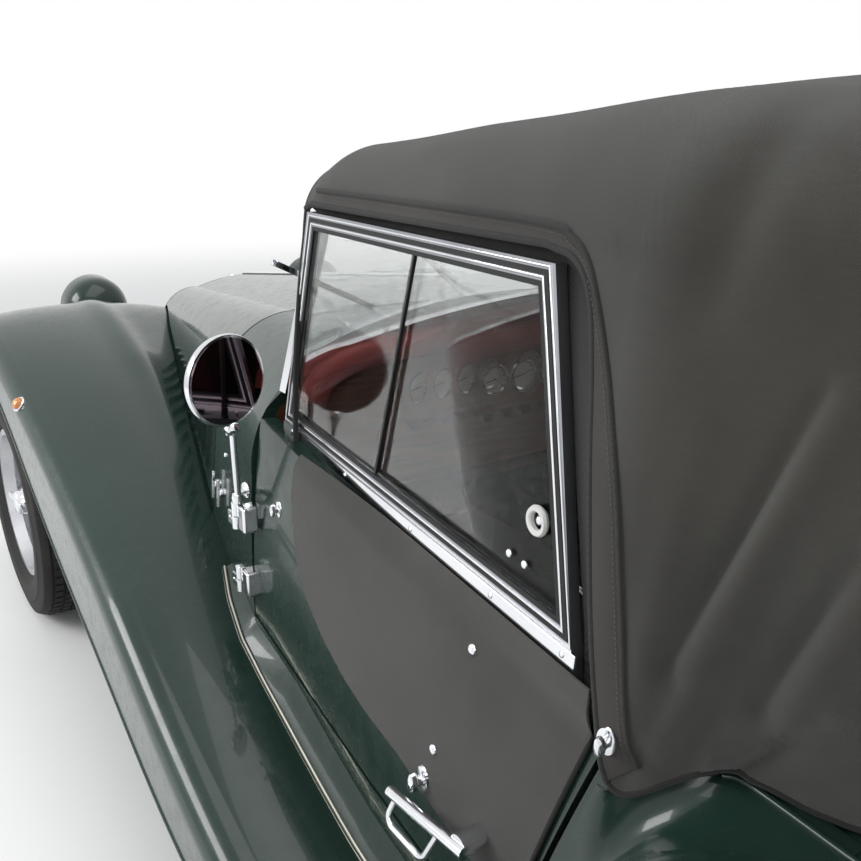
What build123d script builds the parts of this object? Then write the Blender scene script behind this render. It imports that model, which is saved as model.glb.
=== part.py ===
"""Open two-seater roadster of traditional separate-wing form, with its hood and side screens up.

Millimetres. The ground is Z = 0, the front of the car faces -Y and its left side is +X.
The origin is on the ground under the middle of the overall length.
Body panels are lofts of a few sections, cut on the planes where the real panels meet.
Pieces of the left side are made first, and the right side's are their mirror images.
"""
import os
from math import cos, radians, sin

from build123d import *

# Overall sizes
LENGTH = 3960
FRONT_AXLE_Y = -1345
WHEELBASE = 2490
REAR_AXLE_Y = FRONT_AXLE_Y + WHEELBASE
FRONT_HALF_TRACK = 655
REAR_HALF_TRACK = 665

# Clearances
SEAT_GAP = 0.3
RUNNING_GAP = 0.08
SHUT_GAP = 7

# Wheels
TYRE_RADIUS = 315
TYRE_WIDTH = 175
RIM_RADIUS = 190
RIM_WIDTH = 140
HUB_RADIUS = 36
STUB_RADIUS = 16
DRUM_RADIUS = 118
NUT_RADIUS = 30
SPOKE_PAIRS = 12
SPOKE_RADIUS = 2.5
SPOKE_LEAN = 11
# Rows of wire spokes: x at the hub and x at the rim
SPOKE_ROWS = [(40, 14), (-30, -12)]

# Steering
KINGPIN_X = 520
KINGPIN_RADIUS = 13
SLEEVE_RADIUS = 24
COLUMN_X = -300
COLUMN_RADIUS = 11
COLUMN_TILT = 22
STEERING_WHEEL_RADIUS = 190
STEERING_WHEEL_Y = 165
STEERING_WHEEL_Z = 800

# Chassis and floor
RAIL_TOP = 250
RAIL_HEIGHT = 80
RAIL_WIDTH = 46
RAIL_BOTTOM = RAIL_TOP - RAIL_HEIGHT
FLOOR_THICKNESS = 12
SILL_Z = RAIL_TOP + FLOOR_THICKNESS
FLOOR_REAR_Y = 980
TUNNEL_HALF_WIDTH = 112
TUNNEL_TOP = 430

# Body stations, front to rear
NOSE_Y = -1600
COWL_REAR_Y = -1430
SCUTTLE_FRONT_Y = -420
DOOR_FRONT_Y = -95
TAIL_Y = 1690

# Door opening in (y, z): the front of its bottom edge, and the foot and head of its rear edge
DOOR_FRONT_FOOT = (DOOR_FRONT_Y, 530)
DOOR_REAR_FOOT = (588, 440)
DOOR_REAR_HEAD = (702, 800)
HINGE_X = 606
HINGE_Y = -98
HINGE_ZS = (601, 710)
HINGE_HEIGHT = 43
HINGE_RADIUS = 6.5

# Panel thicknesses
PANEL = 6
WALL = 32
WING_PANEL = 8
FABRIC = 6

# Windscreen: foot and head of its raked plane as (y, z), and its half width at each
SCREEN_FOOT = (-94, 866)
SCREEN_HEAD = (20, 1176)
SCREEN_HALF_WIDTHS = (528, 508)
SCREEN_BAR = 20
GLASS = 5

# Engine and driveline
ENGINE_X = (-170, 170)
ENGINE_Y = (-1150, -500)
ENGINE_TOP = 700
PROP_RADIUS = 28
PROP_FRONT_Y = -280
AXLE_RADIUS = 32
DIFF_RADIUS = 105
REAR_DECK_Z = TYRE_RADIUS + DIFF_RADIUS + 30


def mirrored(shape):
    """The same piece on the other side of the car."""
    return shape.mirror(Plane.YZ)


def save(name, *shapes):
    """Writes one node; several solids of one node stay separate."""
    solids = [solid for shape in shapes for solid in shape.solids()]
    export_step(solids[0] if len(solids) == 1 else Compound(solids), f"parts/{name}.step")


def save_pair(name, *shapes):
    """Writes the left piece and its mirror image."""
    save(f"{name}_left", *shapes)
    save(f"{name}_right", *[mirrored(shape) for shape in shapes])


def largest(shape):
    """The largest solid of a cut shape."""
    return max(shape.solids(), key=lambda solid: solid.volume)


def block(x, y, z):
    """A box between the two limits given for each axis."""
    size = [abs(high - low) for low, high in (x, y, z)]
    middle = [(high + low) / 2 for low, high in (x, y, z)]
    return Pos(*middle) * Box(*size)


def rod(start, end, radius):
    """A round bar between two points."""
    a, b = Vector(*start), Vector(*end)
    return extrude(Plane(origin=a, z_dir=b - a) * Circle(radius), (b - a).length)


def side_prism(outline, x_low, x_high):
    """An outline drawn in (y, z), extruded across the car."""
    points = [Vector(x_low, y, z) for y, z in outline]
    return extrude(Face(Wire.make_polygon(points)), x_high - x_low, dir=(1, 0, 0))


def plan_prism(outline, z_low, z_high):
    """An outline drawn in (x, y), extruded upwards."""
    points = [Vector(x, y, z_low) for x, y in outline]
    return extrude(Face(Wire.make_polygon(points)), z_high - z_low, dir=(0, 0, 1))


def tube_path(points, bends, radius):
    """A round tube along straight runs joined by arcs of the given radii."""
    path = FilletPolyline(*points, radius=bends)
    return sweep(Plane(origin=path @ 0, z_dir=path % 0) * Circle(radius), path=path)


def between(table, y):
    """A section of the table at this station, worked out between its neighbours."""
    for front, rear in zip(table, table[1:]):
        if front[0] <= y <= rear[0]:
            share = (y - front[0]) / (rear[0] - front[0])
            return tuple(a + share * (b - a) for a, b in zip(front, rear))
    raise ValueError(f"no section of the table reaches {y}")


def clipped(table, front, rear):
    """The table's sections from front to rear, with new ones at both ends."""
    inner = [row for row in table if front < row[0] < rear]
    return [between(table, front), *inner, between(table, rear)]


# Body sections: y, half width at the sill, half width at the side's top, height of that,
# half width of the top, height of that, height of the crown
COWL_SECTIONS = [
    (NOSE_Y, 225, 205, 640, 120, 752, 772),
    (COWL_REAR_Y, 300, 262, 750, 150, 826, 850),
]
BONNET_SECTIONS = [
    (COWL_REAR_Y, 300, 262, 750, 150, 826, 850),
    (SCUTTLE_FRONT_Y, 532, 500, 790, 340, 948, 982),
]
SCUTTLE_SECTIONS = [
    (SCUTTLE_FRONT_Y, 532, 500, 790, 340, 948, 982),
    (DOOR_FRONT_Y, 572, 578, 770, 410, 948, 995),
    (-20, 572, 578, 770, 410, 948, 995),
]
# The scuttle's rear edge in (y, z): upright at the door, then sloping back under the windscreen
SCUTTLE_REAR_EDGE = [(DOOR_FRONT_Y, 0), (DOOR_FRONT_Y, 874), (-38, 1010), (100, 1010), (100, 0)]


def arch_section(y, sill, side, side_z, top, top_z, crown_z, inset=0, low_z=SILL_Z):
    """A body cross-section: upright sides, round shoulders and an arched top."""
    sill, side, top = sill - inset, side - inset, top - inset * 0.7
    side_z, top_z, crown_z = side_z - inset * 0.3, top_z - inset, crown_z - inset
    bulge = ((sill + side) / 2 + 12, (low_z + side_z) / 2)
    elbow = (side - (side - top) * 0.29, side_z + (top_z - side_z) * 0.71)
    right = [(sill, low_z), bulge, (side, side_z), elbow, (top, top_z)]
    plus = [Vector(x, y, z) for x, z in right]
    minus = [Vector(-x, y, z) for x, z in right]
    return Face(Wire([
        ThreePointArc(plus[0], plus[1], plus[2]),
        ThreePointArc(plus[2], plus[3], plus[4]),
        ThreePointArc(plus[4], Vector(0, y, crown_z), minus[4]),
        ThreePointArc(minus[4], minus[3], minus[2]),
        ThreePointArc(minus[2], minus[1], minus[0]),
        Line(minus[0], plus[0]),
    ]))


def arch_block(table, inset=0, low_z=SILL_Z):
    """The solid inside a run of arch sections."""
    return loft([arch_section(*row, inset=inset, low_z=low_z) for row in table], ruled=True)


# Tub: y, half width at the sill, half width at the middle, half width at the top, height of the top
TUB_SECTIONS = [
    (DOOR_FRONT_Y, 572, 588, 560, 862),
    (300, 590, 608, 582, 820),
    (700, 592, 614, 586, 782),
    (775, 505, 522, 505, 800),
    (950, 450, 462, 440, 862),
    (1240, 420, 432, 405, 860),
    (TAIL_Y, 330, 335, 300, 500),
]
TUB_MIDDLE_Z = 540


def tub_section(y, sill, middle, top, top_z, inset=0, low_z=SILL_Z, rise=0):
    """A tub cross-section: bulged sides under a flat top."""
    middle_z = min(TUB_MIDDLE_Z, (SILL_Z + top_z) / 2)
    plus = [Vector(sill - inset, y, low_z), Vector(middle - inset, y, middle_z),
            Vector(top - inset, y, top_z + rise)]
    minus = [Vector(-p.X, p.Y, p.Z) for p in plus]
    return Face(Wire([
        ThreePointArc(*plus),
        Line(plus[2], minus[2]),
        ThreePointArc(minus[2], minus[1], minus[0]),
        Line(minus[0], plus[0]),
    ]))


def tub_block(table=tuple(TUB_SECTIONS), inset=0, low_z=SILL_Z, rise=0):
    """The solid inside a run of tub sections."""
    return loft([tub_section(*row, inset=inset, low_z=low_z, rise=rise) for row in table], ruled=True)


def door_outline(margin, top_z=1000):
    """The door opening's outline in (y, z), pulled in by a margin."""
    (foot_y, foot_z), (head_y, head_z) = DOOR_REAR_FOOT, DOOR_REAR_HEAD
    lean = (head_y - foot_y) / (head_z - foot_z)
    front = DOOR_FRONT_Y + margin
    return [
        (front, DOOR_FRONT_FOOT[1] + margin),
        (foot_y + lean * margin - margin, foot_z + margin),
        (foot_y + lean * (top_z - foot_z) - margin, top_z),
        (front, top_z),
    ]


def door_top(y):
    """Height of the door's top edge at this station."""
    return between([(row[0], row[4]) for row in TUB_SECTIONS], y)[1]


def scuttle_hollow(inset):
    """The space inside the scuttle's shell, behind its firewall."""
    return arch_block(clipped(SCUTTLE_SECTIONS, SCUTTLE_FRONT_Y + 12, -20), inset=inset, low_z=200)


def scuttle():
    """Scuttle shell from the firewall to the door posts, with the fixed halves of the door hinges."""
    shell = arch_block(SCUTTLE_SECTIONS) - side_prism(SCUTTLE_REAR_EDGE, -700, 700)
    hollow = scuttle_hollow(16)
    half = TUNNEL_HALF_WIDTH + 8
    tunnel = block((-half, half), (SCUTTLE_FRONT_Y - 10, SCUTTLE_FRONT_Y + 60), (200, TUNNEL_TOP + 14))
    column = steering_bore(COLUMN_RADIUS + 6)
    shell = largest(shell - hollow - tunnel - column)
    for side in (-1, 1):
        for z in HINGE_ZS:
            low, x = z - HINGE_HEIGHT / 2, side * HINGE_X
            leaf = block((side * 570, x - side * 2), (HINGE_Y - 30, HINGE_Y - 8), (low, z - 1))
            arm = block((x - side * 6, x + side), (HINGE_Y - 30, HINGE_Y), (low, z - 1))
            barrel = rod((x, HINGE_Y, low), (x, HINGE_Y, z - SEAT_GAP), HINGE_RADIUS)
            shell = shell + leaf + arm + barrel
    return shell


def door():
    """Left door: a thick panel of the tub's side with the moving halves of its hinges."""
    table = clipped(TUB_SECTIONS, DOOR_FRONT_Y, 760)
    side = tub_block(table) - tub_block(table, inset=WALL, low_z=200, rise=60)
    panel = largest(side & side_prism(door_outline(SHUT_GAP), 300, 700))
    for z in HINGE_ZS:
        high = z + HINGE_HEIGHT / 2
        middle = z + SEAT_GAP
        arm = block((HINGE_X - 26, HINGE_X + 1), (HINGE_Y + 14, HINGE_Y + 34), (middle + 1, high))
        strap = block((HINGE_X - 3, HINGE_X + 1), (HINGE_Y, HINGE_Y + 34), (middle + 1, high))
        barrel = rod((HINGE_X, HINGE_Y, middle), (HINGE_X, HINGE_Y, high), HINGE_RADIUS)
        panel = panel + arm + strap + barrel
    return largest(panel)


def body_tub():
    """Tub: sills under the doors, rear quarters, seat bulkhead, luggage deck and sloping tail."""
    shell = tub_block()
    cabin = tub_block(clipped(TUB_SECTIONS, DOOR_FRONT_Y, 945), inset=WALL, low_z=200, rise=60)
    luggage = tub_block(clipped(TUB_SECTIONS, 965, 1215), inset=WALL - 12, low_z=REAR_DECK_Z + 12, rise=60)
    tank_bay = tub_block(clipped(TUB_SECTIONS, 1372, TAIL_Y - 22), inset=22, low_z=200, rise=-22)
    underbody = block((-800, 800), (FLOOR_REAR_Y, 1360), (0, REAR_DECK_Z))
    opening = side_prism(door_outline(0), -700, 700)
    tail_cut = block((-800, 800), (1300, TAIL_Y + 50), (0, 305))
    shell = shell - cabin - luggage - tank_bay - underbody - opening - tail_cut
    tunnel = block((-TUNNEL_HALF_WIDTH - 8, TUNNEL_HALF_WIDTH + 8), (900, 1000), (200, TUNNEL_TOP + 8))
    return largest(shell - tunnel - spring_slots())


def spring_slots():
    """Room for the leaf springs where they pass under the floor and the quarters."""
    start = SPRING_FRONT_Y + 80 * 52 / SPRING_RISE
    slot = block((SPRING_X - 26, SPRING_X + 26), (start, 1010), (200, TYRE_RADIUS - 23))
    return slot + mirrored(slot)


def floor_pan():
    """Floor on the side rails with a raised tunnel over the propeller shaft."""
    half = [(528, SCUTTLE_FRONT_Y), (568, DOOR_FRONT_Y), (588, 300), (590, 700), (503, 775),
            (446, FLOOR_REAR_Y)]
    outline = half + [(-x, y) for x, y in reversed(half)]
    pan = plan_prism(outline, RAIL_TOP, SILL_Z)
    length = (SCUTTLE_FRONT_Y, FLOOR_REAR_Y)
    cover = block((-TUNNEL_HALF_WIDTH, TUNNEL_HALF_WIDTH), length, (RAIL_TOP, TUNNEL_TOP))
    inner = TUNNEL_HALF_WIDTH - 8
    return largest(pan + cover - block((-inner, inner), (-500, 1100), (200, TUNNEL_TOP - 8)) - spring_slots())


# Hood sections: y, half width at the hem, half width at the shoulder, height of that,
# half width of the top, height of that, height of the crown
HOOD_SECTIONS = [
    (0, 545, 516, 1155, 450, 1232, 1254),
    (60, 550, 524, 1175, 440, 1260, 1284),
    (560, 584, 568, 1195, 440, 1314, 1336),
    (700, 598, 576, 1195, 430, 1326, 1350),
    (790, 524, 540, 1180, 400, 1322, 1346),
    (960, 462, 480, 1130, 350, 1270, 1294),
    (1236, 432, 404, 846, 300, 866, 868),
]
HOOD_LOW_Z = 735
# The window opening's edge and the hem along the body side, as (y, z)
HOOD_OPENING = [(-60, 700), (-60, 1150), (24, 1188), (560, 1198), (612, 1180), (640, 1120), (697, 735),
                (697, 700)]
HOOD_HEM = [(697, 700), (697, 738), (712, 738), (760, 792), (860, 868), (1300, 868), (1300, 700)]


def hood_block(inset=0):
    """The solid inside the hood's outer surface."""
    return loft([arch_section(*row, inset=inset, low_z=HOOD_LOW_Z) for row in HOOD_SECTIONS], ruled=True)


# Rear window: half width, low and high edge, corner radius
HOOD_WINDOW = (240, 985, 1125, 36)


def hood_window(margin):
    """The rear window's outline, pulled in by a margin, as a prism through the hood's back."""
    half, low, high, corner = HOOD_WINDOW
    outline = RectangleRounded(2 * (half - margin), high - low - 2 * margin, corner - margin)
    return extrude(Plane(origin=(0, 1300, (low + high) / 2), x_dir=(1, 0, 0), z_dir=(0, -1, 0)) * outline, 300)


def rear_pane():
    """Clear pane in the hood's rear window."""
    return largest((hood_block(1.5) - hood_block(4.5)) & hood_window(SEAT_GAP))


def hood_fabric():
    """Hood cloth: one sheet over the cabin, open at the sides, front and bottom, with a rear window."""
    sheet = hood_block() - hood_block(FABRIC)
    sheet = sheet - side_prism(HOOD_OPENING, -700, 700) - side_prism(HOOD_HEM, -700, 700)
    front = side_prism([(-20, 1100), (-20, 1400), (12, 1400), (2, 1100)], -700, 700)
    rear = side_prism([(1228, 700), (1228, 1000), (1300, 1000), (1300, 700)], -700, 700)
    base = block((-700, 700), (-20, 1300), (700, HOOD_LOW_Z + 3))
    return largest(sheet - front - rear - base - hood_window(0) - tub_block(inset=-SEAT_GAP))


HOOD_BOWS = (330, 620, 850)
BOW_WIDTH = 22
BOW_DEPTH = 14
LINK_X = 400


def hood_frame():
    """The hood's header rail on the windscreen, its bows close under the cloth and the links between them."""
    band = hood_block(FABRIC + SEAT_GAP) - hood_block(FABRIC + BOW_DEPTH)
    slabs = [block((-498, 498), (y - BOW_WIDTH / 2, y + BOW_WIDTH / 2), (1215, 1500)) for y in HOOD_BOWS]
    for side in (-1, 1):
        slabs.append(block((side * LINK_X, side * (LINK_X + 12)), (30, HOOD_BOWS[-1]), (1215, 1500)))
    head = SCREEN_HEAD[1] + SEAT_GAP
    frame = hood_block(FABRIC + SEAT_GAP) & block((-498, 498), (14, 46), (head, 1500))
    for slab in slabs:
        frame = frame + (band & slab)
    return largest(frame)


def screen_slab(thickness):
    """A flat slab of the windscreen's rake, wider than the car."""
    (foot_y, foot_z), (head_y, head_z) = SCREEN_FOOT, SCREEN_HEAD
    rake = (head_y - foot_y) / (head_z - foot_z)
    low, half = 820, thickness / 2
    low_y = foot_y + rake * (low - foot_z)
    outline = [(low_y - half, low), (low_y + half, low), (head_y + half, head_z), (head_y - half, head_z)]
    return side_prism(outline, -700, 700)


def screen_outline(inset, top):
    """The windscreen's outline seen from the front, pulled in at its sides, up to a height."""
    (base, head), low, high = SCREEN_HALF_WIDTHS, SCREEN_FOOT[1], SCREEN_HEAD[1]
    lean = (head - base) / (high - low)
    points = [(base + lean * (z - low) - inset, z) for z in (820, top)]
    right = [Vector(x, -300, z) for x, z in points]
    left = [Vector(-x, -300, z) for x, z in reversed(points)]
    return extrude(Face(Wire.make_polygon(right + left)), 600, dir=(0, 1, 0))


def windscreen_frame():
    """Windscreen frame: two posts, a header and a bottom bar arched over the scuttle."""
    high = SCREEN_HEAD[1]
    frame = (screen_slab(SCREEN_BAR) & screen_outline(0, high)) - arch_block(SCUTTLE_SECTIONS, -SEAT_GAP)
    opening = screen_outline(SCREEN_BAR, high - SCREEN_BAR) - arch_block(SCUTTLE_SECTIONS, -SCREEN_BAR)
    return largest(frame - opening)


def windscreen_glass():
    """Windscreen glass, just inside its frame."""
    gap = SCREEN_BAR + SEAT_GAP
    pane = screen_slab(GLASS) & screen_outline(gap, SCREEN_HEAD[1] - gap)
    return largest(pane - arch_block(SCUTTLE_SECTIONS, -gap))


# Side screens lie in a leaning plane: x of that plane at y = 0, z = 0, and its change with y and with z
SIDE_PLANE = (573.6, 0.0784, -0.0455)
SIDE_SCREEN_HALF = 6
SIDE_RAIL = 20
SIDE_PANE = 3
# Outer corners above the door as (y, z), and the line of the rail under the panes
SIDE_FRONT_HEAD = (30, 1178)
SIDE_REAR_HEAD = (574, 1182)
SIDE_FRONT_Y = -56
SIDE_REAR_Y = 654
SIDE_RAIL_TOP = (884, 866)


def side_plane_prism(outline, low, high):
    """An outline in (y, z) laid in the side screens' plane and thickened between two offsets from it."""
    start, by_y, by_z = SIDE_PLANE
    normal = Vector(1, -by_y, -by_z).normalized()
    points = [Vector(start + by_y * y + by_z * z, y, z) + normal * low for y, z in outline]
    return extrude(Face(Wire.make_polygon(points)), high - low, dir=tuple(normal))


def side_opening(margin):
    """The side screen's window in (y, z), pulled in by a margin."""
    edge = SIDE_RAIL + margin
    front_low, rear_low = SIDE_RAIL_TOP
    (front_y, front_z), (rear_y, rear_z) = SIDE_FRONT_HEAD, SIDE_REAR_HEAD
    return [(SIDE_FRONT_Y + edge + 8, front_low + margin), (SIDE_REAR_Y - edge - 14, rear_low + margin),
            (rear_y - edge, rear_z - edge), (front_y + edge, front_z - edge)]


def side_screen():
    """Left side screen: a frame standing on the door's top edge."""
    foot = [(y, door_top(y) + SEAT_GAP) for y in (SIDE_FRONT_Y, 300, SIDE_REAR_Y)]
    outer = foot + [SIDE_REAR_HEAD, SIDE_FRONT_HEAD]
    frame = side_plane_prism(outer, -SIDE_SCREEN_HALF, SIDE_SCREEN_HALF)
    return largest(frame - side_plane_prism(side_opening(0), -20, 20))


def side_panes():
    """The left side screen's two sliding panes, one behind the other."""
    window = side_opening(SEAT_GAP)
    front = side_plane_prism(window, 1, 1 + SIDE_PANE) & block((0, 900), (-200, 312), (0, 1500))
    rear = side_plane_prism(window, -1 - SIDE_PANE, -1) & block((0, 900), (288, 900), (0, 1500))
    return front, rear


# The flap's edge in (y, z), from its front corner round its foot to its rear corner
FLAP_EDGE = [(56, 790), (71, 751), (84, 709), (125, 665), (181, 631), (248, 606), (381, 580), (471, 556),
             (541, 543), (598, 537), (676, 780)]
FLAP_CLOTH = 3
FLAP_STAND = 1.5


def door_flap():
    """Left weather flap: cloth folded over the door's top edge and hanging down its outside."""
    fold = 6
    head = [(y, door_top(y) + fold) for y in (680, 300, 54)]
    table = clipped(TUB_SECTIONS, 0, 770)
    outer = tub_block(table, inset=-FLAP_STAND - FLAP_CLOTH, rise=fold + 20)
    sheet = outer - tub_block(table, inset=-FLAP_STAND, low_z=200, rise=fold + 30)
    sheet = sheet & side_prism(FLAP_EDGE + head, 400, 700)
    rest = [(y, door_top(y) + SEAT_GAP) for y in (60, 300, 640)]
    lid = [(y, door_top(y) + fold) for y in (640, 300, 60)]
    bridge = outer & side_prism(rest + lid, 400, 700)
    region = [(-200, 600), (900, 600), (900, 1300), (-200, 1300)]
    screen = side_plane_prism(region, -200, SIDE_SCREEN_HALF + SEAT_GAP)
    boss = rod((560, HANDLE_BOSS[0], HANDLE_BOSS[1]), (700, HANDLE_BOSS[0], HANDLE_BOSS[1]), HANDLE_RADIUS + 9)
    return largest(largest(sheet) + bridge - screen - boss)


HANDLE_BOSS = (552, 589)
HANDLE_RADIUS = 13
HANDLE_X = 648
HANDLE_LENGTH = 132
LOOP_DROP = 57


def door_handle():
    """Left door handle: a boss on the door, a T bar turned on it and a pull loop under the bar."""
    y, z = HANDLE_BOSS
    boss = rod((590, y, z), (HANDLE_X, y, z), HANDLE_RADIUS) - tub_block(inset=-SEAT_GAP)
    bar = rod((HANDLE_X, y + 12, z), (HANDLE_X, y - HANDLE_LENGTH, z - 22), 7)
    low = z - LOOP_DROP
    ends = (HANDLE_X, y - 118, z - 20), (HANDLE_X, y - 34, z - 8)
    bends = (HANDLE_X + 8, y - 130, low), (HANDLE_X + 8, y - 54, low + 2)
    loop = tube_path([ends[0], *bends, ends[1]], [12, 16], 4)
    return largest(largest(boss) + bar + loop)


MIRROR = (619, -63, 935)
MIRROR_RADIUS = 62.5
MIRROR_BASE_Z = 748


def mirror():
    """Left door mirror: a round head on an arm from the scuttle's side."""
    x, y, z = MIRROR
    knee = (606, -120, MIRROR_BASE_Z)
    base = rod((560, -120, MIRROR_BASE_Z), knee, 9) - arch_block(SCUTTLE_SECTIONS, -SEAT_GAP)
    arm = rod(knee, (x - 6, y - 6, z - MIRROR_RADIUS + 6), 5) + Pos(*knee) * Sphere(9)
    head = rod((x, y - 12, z), (x, y, z), MIRROR_RADIUS)
    return largest(largest(base) + arm + head)


# Wings: each row is one cross-section square to the wing's run. Columns: y and z of its crown, forward tilt
# in degrees, x of the inner edge, x of the outer edge, drop of the inner edge, depth of the outer skirt.
FRONT_WING_ROWS = [
    (-1792, 400, 84, 225, 735, 30, 70),
    (-1745, 580, 62, 225, 752, 35, 90),
    (-1620, 742, 36, 225, 762, 35, 100),
    (-1430, 814, 6, 225, 765, 45, 110),
    (-1180, 796, -12, 225, 765, 95, 120),
    (-700, 672, -15, 300, 768, 115, 200),
    (-250, 548, -15, 430, 785, 80, 185),
    (120, 446, -14, 480, 800, 105, 150),
    (400, 376, -9, 500, 800, 65, 110),
    (590, 358, 0, 500, 800, 45, 95),
]
REAR_WING_ROWS = [
    (590, 358, 0, 500, 800, 45, 95),
    (658, 425, 62, 400, 800, 35, 60),
    (694, 580, 75, 400, 800, 30, 60),
    (758, 716, 42, 400, 800, 12, 70),
    (905, 782, 13, 380, 800, 45, 90),
    (1145, 805, 0, 380, 800, 80, 100),
    (1345, 765, -22, 360, 798, 80, 100),
    (1505, 655, -48, 330, 790, 70, 90),
    (1592, 500, -72, 300, 770, 50, 70),
    (1612, 380, -84, 300, 750, 40, 60),
]
WING_SHOULDER = 45


def wing_section(y, z, tilt, inner, outer, drop, skirt):
    """A pressed wing's cross-section: a crowned top, a round shoulder and a skirt, one panel thick."""
    up = Vector(0, -sin(radians(tilt)), cos(radians(tilt)))
    centre = Vector(0, y, z)
    crown_x = outer - 0.42 * (outer - inner)
    roll = WING_SHOULDER
    thick = WING_PANEL
    skin = [(inner, -drop), (crown_x, 0), (outer - roll, -0.25 * roll), (outer - 0.2 * roll, -0.62 * roll),
            (outer, -1.2 * roll), (outer, -skirt)]
    shift = [(0, -thick), (0, -thick), (-thick, -thick), (-thick, -thick), (-thick, 0), (-thick, 0)]
    top = [centre + Vector(x, 0, 0) + up * height for x, height in skin]
    under = [centre + Vector(x + dx, 0, 0) + up * (height + dh) for (x, height), (dx, dh) in zip(skin, shift)]
    return Face(Wire([
        ThreePointArc(top[0], top[1], top[2]),
        ThreePointArc(top[2], top[3], top[4]),
        Line(top[4], top[5]),
        Line(top[5], under[5]),
        Line(under[5], under[4]),
        ThreePointArc(under[4], under[3], under[2]),
        ThreePointArc(under[2], under[1], under[0]),
        Line(under[0], top[0]),
    ]))


def wing(rows, *neighbours):
    """One wing, trimmed where it meets the body."""
    panel = loft([wing_section(*row) for row in rows])
    for neighbour in neighbours:
        panel = panel - neighbour
    return largest(panel)


# Bonnet lids: a line just above the wing in (y, z), and the strip along the crown that they hinge on
BONNET_EDGE = [(COWL_REAR_Y, 800), (-1180, 745), (-930, 672), (-700, 625), (SCUTTLE_FRONT_Y, 592)]
HINGE_STRIP_HALF = 10


def bonnet_lid(wing_panel):
    """Left bonnet lid: a thin louvred panel from the hinge strip down to a shut line over the wing."""
    front, rear = COWL_REAR_Y + SHUT_GAP, SCUTTLE_FRONT_Y - SHUT_GAP
    table = clipped(BONNET_SECTIONS, front, rear)
    shell = arch_block(table) - arch_block(table, inset=PANEL, low_z=200)
    lid = largest(shell & block((HINGE_STRIP_HALF + SEAT_GAP, 700), (-2000, 0), (500, 1200)))
    lid = max((lid - Pos(0, 0, SHUT_GAP + 2) * wing_panel).solids(), key=lambda solid: solid.center().Z)
    for index in range(LOUVRES):
        lid = lid + louvre(index)
    return largest(lid)


LOUVRES = 11
LOUVRE_PITCH = 56
LOUVRE_FIRST_Y = -1060
LOUVRE_PROUD = 8


def bonnet_side_point(y, share):
    """A point on the bonnet's side, at a share of the way up from its lower edge to the shoulder."""
    _, sill, side, side_z, _, _, _ = between(BONNET_SECTIONS, y)
    edge_z = between(BONNET_EDGE, y)[1]
    z = edge_z + share * (side_z - edge_z)
    rise = (z - SILL_Z) / (side_z - SILL_Z)
    return Vector(sill + (side - sill) * rise + 48 * rise * (1 - rise), y, z)


def louvre(index):
    """One pressed louvre: a wedge standing out of the bonnet's side, open to the rear."""
    y = LOUVRE_FIRST_Y + index * LOUVRE_PITCH
    low, high = bonnet_side_point(y, 0.25), bonnet_side_point(y, 0.8)
    out = (bonnet_side_point(y + 40, 0.5) - bonnet_side_point(y, 0.5))
    along = out.normalized()
    normal = (high - low).cross(along).normalized()
    if normal.X < 0:
        normal = normal * -1
    foot = [low - normal * 3, low + along * 26 - normal * 3]
    wedge = Wire.make_polygon([foot[0], foot[1], foot[1] + normal * (LOUVRE_PROUD + 3)])
    return extrude(Face(wedge), (high - low).length, dir=(high - low).normalized())


def radiator_cowl():
    """Curved cowl with an open front, a core behind it and the fixed hinge strip of the bonnet."""
    shell = arch_block(COWL_SECTIONS, low_z=RAIL_TOP) - arch_block(
        clipped(COWL_SECTIONS, NOSE_Y, COWL_REAR_Y - 24), inset=16, low_z=300)
    lean = [(NOSE_Y - 1, 300), (NOSE_Y - 1, 900), (NOSE_Y + 60, 900), (NOSE_Y + 10, 700)]
    shell = largest(shell - side_prism(lean, -400, 400))
    (front, rear) = BONNET_SECTIONS
    strip = side_prism([(COWL_REAR_Y - 2, front[6] - 6), (SCUTTLE_FRONT_Y - SEAT_GAP, rear[6] - 6),
                        (SCUTTLE_FRONT_Y - SEAT_GAP, rear[6] + 2), (COWL_REAR_Y - 2, front[6] + 2)],
                       -HINGE_STRIP_HALF, HINGE_STRIP_HALF)
    return shell + strip


SLATS = 13
SLAT_WIDTH = 6


def grille_slats():
    """Upright slats of the grille on two cross bars, set inside the cowl's mouth."""
    mouth = arch_block(clipped(COWL_SECTIONS, NOSE_Y, COWL_REAR_Y - 24), inset=16 + SEAT_GAP,
                       low_z=300 + SEAT_GAP)
    bars = block((-300, 300), (NOSE_Y + 34, NOSE_Y + 42), (330, 342)) + block(
        (-300, 300), (NOSE_Y + 34, NOSE_Y + 42), (560, 572))
    grille = bars
    for index in range(SLATS):
        x = (index - (SLATS - 1) / 2) * 29
        grille = grille + side_prism([(NOSE_Y + 10, 290), (NOSE_Y + 10, 560), (NOSE_Y + 40, 800),
                                      (NOSE_Y + 54, 800), (NOSE_Y + 24, 560), (NOSE_Y + 24, 290)],
                                     x - SLAT_WIDTH / 2, x + SLAT_WIDTH / 2)
    grille = grille + block((-300, 300), (NOSE_Y + 10, NOSE_Y + 42), (300 + SEAT_GAP, 312))
    return largest(grille & mouth)


# Chassis: centre line of the left rail in plan, as (x, y)
RAIL_LINE = [(250, -1640), (280, -1150), (400, -600), (455, -100), (455, 520), (410, 660), (410, 1700)]
CROSS_MEMBERS = (-1560, -1120, -540, 60, 820, 1600)
CROSS_WIDTH = 60
CROSS_HEIGHT = 50
TOW_EYE_Z = 205
TOW_EYE_RADIUS = 28
TOW_EYE_THICKNESS = 14
TOW_BORE_RADIUS = 14
FRONT_EYE = (250, -1664)
REAR_EYE = (410, 1724)

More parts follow.
